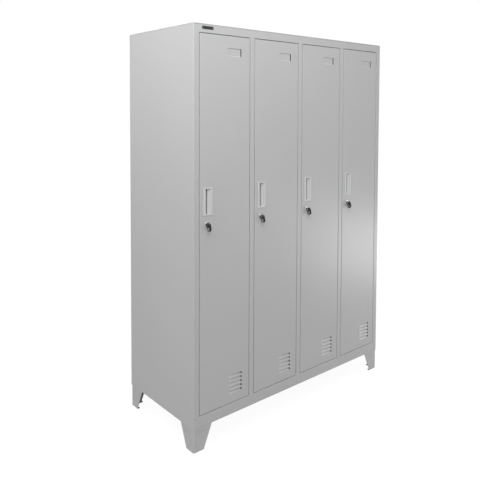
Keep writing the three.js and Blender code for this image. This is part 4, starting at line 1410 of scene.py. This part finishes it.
    def cam(self, number: int, axis: Vector) -> None:
        """Makes the cam, a flat bar with a round end at the plug."""
        low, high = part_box(f"lock_cam_{number}")
        thick = high.y - low.y
        middle = (low.y + high.y) / 2
        half = self.cam_width / 2
        shape = Shape()
        hub = shape.rod(Vector((axis.x, middle, axis.z)), Axis.Y, half, thick, 48)
        faces = shape.block(
            Vector((axis.x - half, low.y, low.z)), Vector((axis.x + half, high.y, low.z + self.cam_width))
        )
        edges = dict.fromkeys(edge for face in faces for edge in face.edges)
        across = [edge for edge in edges if abs(edge.verts[0].co.y - edge.verts[1].co.y) > thick / 2]
        ends = [edge for edge in across if edge.verts[0].co.z < low.z + TINY]
        shape.round(ends, self.cam_width / 4, 5)
        tip = [vert for vert in shape.mesh.verts if vert not in hub]
        shape.hull([hub, tip])
        node = f"lock_cam_{number}"
        shape.finished(f"lock_{number}_cam", ZINC, f"lock_{number}", [node], edge=0.0003)


@dataclass
class Key:
    """A key with a folding bow: blade, tab, pivot pin and a two-part black bow."""

    thickness: float = 0.002
    blade_width: float = 0.008
    cuts: tuple[float, ...] = (0.0009, 0.0016, 0.0005, 0.0013, 0.0008)  # depths of the blade's cuts
    tab_width: float = 0.009
    neck: float = 0.0055
    round_end: float = 0.010
    length: float = 0.017
    bow_thickness: float = 0.007
    cheek: float = 0.0022
    seam: float = 0.0007
    ring_hole: float = 0.0045
    eyelet: float = 0.0064  # outer radius of the plated eyelet round the hole
    eyelet_proud: float = 0.0004
    pivot: float = 0.0014

    def build(self, number: int) -> None:
        """Makes one key."""
        low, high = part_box(f"key_bow_{number}")
        blade_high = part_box(f"key_blade_{number}")[1]
        pivot = Vector(((low.x + high.x) / 2, (low.y + high.y) / 2, high.z - self.neck))
        self.blade(number, pivot, blade_high.y)
        self.bow(number, pivot)

    def blade(self, number: int, pivot: Vector, tip: float) -> None:
        """Makes the blade, cut on both edges, and the tab that the bow folds about."""
        half = self.thickness / 2
        shoulder = FACE_Y - 0.0026
        shape = Shape()
        wide = self.blade_width / 2
        shape.block(
            Vector((pivot.x - half, shoulder - TINY, pivot.z - wide)),
            Vector((pivot.x + half, tip, pivot.z + wide)),
        )
        run = (tip - shoulder) * 0.86
        step = run / (2 * len(self.cuts) + 1)
        places = [shoulder + step * (i + 1) for i in range(2 * len(self.cuts))]
        for y in places:
            shape.slice(shape.faces(), Axis.Y, y)
        for vert in shape.mesh.verts:
            inward = -1 if vert.co.z > pivot.z else 1
            for i, y in enumerate(places):
                if abs(vert.co.y - y) < TINY:
                    vert.co.z += inward * (self.cuts[i // 2] if i % 2 else self.cuts[-1 - i // 2] * 0.4)
            if vert.co.y > tip - TINY:
                vert.co.z = pivot.z - inward * wide * 0.25
        node = f"key_blade_{number}"
        shape.finished(f"key_{number}_blade", NICKEL, f"key_{number}", [node], edge=0.0002)
        tab = Shape()
        head = tab.rod(pivot, Axis.X, self.tab_width / 2, self.thickness, 40)
        root = tab.block(
            Vector((pivot.x - half, shoulder - 0.002, pivot.z - self.tab_width / 2)),
            Vector((pivot.x + half, shoulder, pivot.z + self.tab_width / 2)),
        )
        tab.hull([head, corners_of(root)])
        tab.finished(f"key_{number}_tab", NICKEL, f"key_{number}", edge=0.0003)

    def bow(self, number: int, pivot: Vector) -> None:
        """Makes the bow's two cheeks, its core and its pivot pin."""
        body = f"key_bow_{number}"
        inner = self.bow_thickness / 2 - self.cheek
        reach = self.bow_thickness / 2
        for side, start, end in (("left", -reach, -inner), ("right", inner, reach)):
            cheek = self.plate(pivot, start, end, 0, pivot.z)
            names = [f"key_bow_{number}"] if side == "left" else []
            cheek.finished(f"key_{number}_bow_{side}", BLACK, body, names, edge=0.0006, edge_steps=4)
        floor = pivot.z - self.tab_width / 2 - 0.0006
        core = self.plate(pivot, -inner, inner, self.seam, floor)
        core.finished(f"key_{number}_bow_core", BLACK, body, edge=0.0001)
        eyelet = Shape()
        rim, out = self.eyelet, reach + self.eyelet_proud
        bore = self.ring_hole - self.eyelet_proud
        ring = [(bore, -out), (rim - self.eyelet_proud, -out), (rim, -reach), (self.ring_hole, -reach)]
        ring += [(radius, -along) for radius, along in reversed(ring)]
        eyelet.turned(ring, pivot - Vector((0, 0, self.length)), Axis.X, 40, ring=True)
        eyelet.finished(f"key_{number}_eyelet", CHROME, body, edge=0)
        pin = Shape()
        line = [(0, -reach - 0.0002), (self.pivot * 0.8, -reach - 0.0002), (self.pivot, -reach + 0.0002)]
        line += [(radius, -along) for radius, along in reversed(line)]
        pin.turned(line, pivot, Axis.X, 28)
        pin.finished(f"key_{number}_pin", NICKEL, body, edge=0)

    def plate(self, pivot: Vector, start: float, end: float, inset: float, top: float) -> Shape:
        """One layer of the bow, with the hole for a ring.

        Args:
            pivot: The bow's pivot.
            start: Where the layer starts, from the pivot along X.
            end: Where it ends.
            inset: How far its edge stands back from the bow's outline.
            top: The layer's highest point is at this level, or round the pivot where it is the pivot's.
        """
        shape = Shape()
        middle = pivot + Vector(((start + end) / 2, 0, 0))
        thick = end - start
        bars = [shape.rod(middle - Vector((0, 0, self.length)), Axis.X, self.round_end - inset, thick, 56)]
        if top < pivot.z - TINY:
            share = (pivot.z - top) / self.length
            half = self.neck + (self.round_end - self.neck) * share - inset
            low = Vector((pivot.x + start, pivot.y - half, top - 0.001))
            bars.append(corners_of(shape.block(low, Vector((pivot.x + end, pivot.y + half, top)))))
        else:
            bars.append(shape.rod(middle, Axis.X, self.neck - inset, thick, 40))
        shape.hull(bars)
        hole = pivot - Vector((0, 0, self.length))
        rims = []
        for way, x in ((Vector((-1, 0, 0)), pivot.x + start), (Vector((1, 0, 0)), pivot.x + end)):
            side = max(shape.facing(way), key=lambda face: face.calc_area())
            rims += shape.round_hole(side, Vector((x, hole.y, hole.z)), Axis.X, self.ring_hole, 28)
        wall = bmesh.ops.bridge_loops(shape.mesh, edges=rims)["faces"]
        shape.mesh.normal_update()
        for face in wall:
            outward = face.calc_center_median() - hole
            outward.x = 0
            if face.normal.dot(outward) > 0:
                face.normal_flip()
        return shape


# ---- Studio --------------------------------------------------------------------------------------


@dataclass(frozen=True)
class Softbox:
    """A square area lamp that looks at a point."""

    name: str
    place: tuple[float, float, float]
    target: tuple[float, float, float]
    size: float
    power: float

    def build(self) -> None:
        """Makes the lamp."""
        data = bpy.data.lights.new(self.name, "AREA")
        data.size, data.energy = self.size, self.power
        lamp = bpy.data.objects.new(self.name, data)
        lamp.location = self.place
        way = Vector(self.target) - Vector(self.place)
        lamp.rotation_euler = way.to_track_quat("-Z", "Y").to_euler()
        bpy.context.scene.collection.objects.link(lamp)


@dataclass
class Studio:
    """A pale floor, soft lamps and the camera."""

    camera_place: tuple[float, float, float] = (-1.878, -2.036, 1.380)
    turn: float = 40.15  # degrees to the right of straight ahead
    tilt: float = -2.59
    roll: float = 0.20
    lens: float = 42.13
    shift: float = -0.216
    floor_size: float = 60
    floor_colour: Colour = (0.35, 0.35, 0.35)  # what it throws back at the cabinet
    floor_glow: float = 1.22  # laid over its shading for the camera
    floor_veil: float = 0.78  # how far that hides the shading
    backdrop: float = 1.0  # what the camera sees beyond the floor
    above: float = 0.74  # light from overhead and from below the horizon
    below: float = 0.46
    horizon: Spot = (-0.5, 0.9)  # heights of the sky between which the one passes into the other
    lamps: tuple[Softbox, ...] = (
        Softbox("overhead", (-0.9, -1.4, 2.9), (0.0, 0.0, 1.3), 1.5, 27),
        Softbox("left_fill", (-2.3, -0.3, 2.8), (-0.6, 0.0, 1.4), 1.5, 32),
        Softbox("low_right", (1.95, -1.4, 0.18), (0.3, -0.24, 0.55), 0.7, 9),
    )

    def build(self) -> None:
        """Makes everything in the studio."""
        for lamp in self.lamps:
            lamp.build()
        self.floor()
        self.sky()
        self.camera()

    def floor(self) -> None:
        """Makes the floor, with a faint cast in its tone."""
        shape = bmesh.new()
        bmesh.ops.create_grid(shape, x_segments=1, y_segments=1, size=self.floor_size / 2)
        data = bpy.data.meshes.new("floor")
        shape.to_mesh(data)
        shape.free()
        recipe = Recipe("floor")
        cast = recipe.noise(0.7, 2)
        recipe.set(Base_Color=recipe.blend(cast, shade(self.floor_colour, 0.995), self.floor_colour))
        recipe.set(Roughness=0.8)
        self.veil(recipe)
        data.materials.append(recipe.material)
        floor = bpy.data.objects.new("floor", data)
        bpy.context.scene.collection.objects.link(floor)

    def veil(self, recipe: Recipe) -> None:
        """Lays an even glow over the floor that only the camera sees.

        Args:
            recipe: The floor's material.
        """
        seen = recipe.node("ShaderNodeLightPath", {}, {}, "Is Camera Ray")
        glow = recipe.node("ShaderNodeEmission", {}, {"Strength": self.floor_glow})
        shaded = Signal(recipe, recipe.shader.outputs[0])
        both = recipe.node("ShaderNodeMixShader", {}, {0: seen * self.floor_veil, 1: shaded, 2: glow})
        recipe.feed(recipe.tree.nodes["Material Output"].inputs["Surface"], both)

    def sky(self) -> None:
        """Makes a white surround that lights the cabinet more from above than from below."""
        world = bpy.data.worlds.new("surround")
        world.use_nodes = True
        bpy.context.scene.world = world
        mixer = Mixer(world.node_tree)
        place = mixer.node("ShaderNodeTexCoord", {}, {}, "Generated")
        height = mixer.node("ShaderNodeSeparateXYZ", {}, {0: place}, "Z")
        low, high = self.horizon
        reach = {"From Min": low, "From Max": high, "To Min": self.below, "To Max": self.above}
        level = mixer.node("ShaderNodeMapRange", {}, {"Value": height, **reach})
        seen = mixer.node("ShaderNodeLightPath", {}, {}, "Is Camera Ray")
        strength = mixer.node("ShaderNodeMix", {}, {0: seen, 2: level, 3: self.backdrop})
        background = mixer.tree.nodes["Background"].inputs
        background["Color"].default_value = (1, 1, 1, 1)
        mixer.feed(background["Strength"], strength)

    def camera(self) -> None:
        """Makes the camera."""
        data = bpy.data.cameras.new("camera")
        data.lens, data.shift_y = self.lens, self.shift
        camera = bpy.data.objects.new("camera", data)
        camera.matrix_world = (
            Matrix.Translation(self.camera_place)
            @ Matrix.Rotation(-math.radians(self.turn), 4, "Z")
            @ Matrix.Rotation(math.radians(90 + self.tilt), 4, "X")
            @ Matrix.Rotation(math.radians(self.roll), 4, "Z")
        )
        bpy.context.scene.collection.objects.link(camera)
        bpy.context.scene.camera = camera


# ---- Assembly ------------------------------------------------------------------------------------


def main() -> None:
    """Builds the cabinet and the studio round it."""
    logging.basicConfig(level=logging.INFO, format="%(name)s: %(message)s")
    view = bpy.context.scene.view_settings
    view.view_transform, view.look = "Standard", "None"
    Studio().build()
    Body().build()
    NamePlate().build()
    leg = Leg()
    for place in ("front_left", "front_right", "rear_right", "rear_left"):
        leg.build(f"leg_{place}")
    for number in range(1, COMPARTMENTS + 1):
        for kind in (Inside(), Door(), Pull(), Lock(), Key()):
            kind.build(number)


if __name__ == "__main__":
    main()
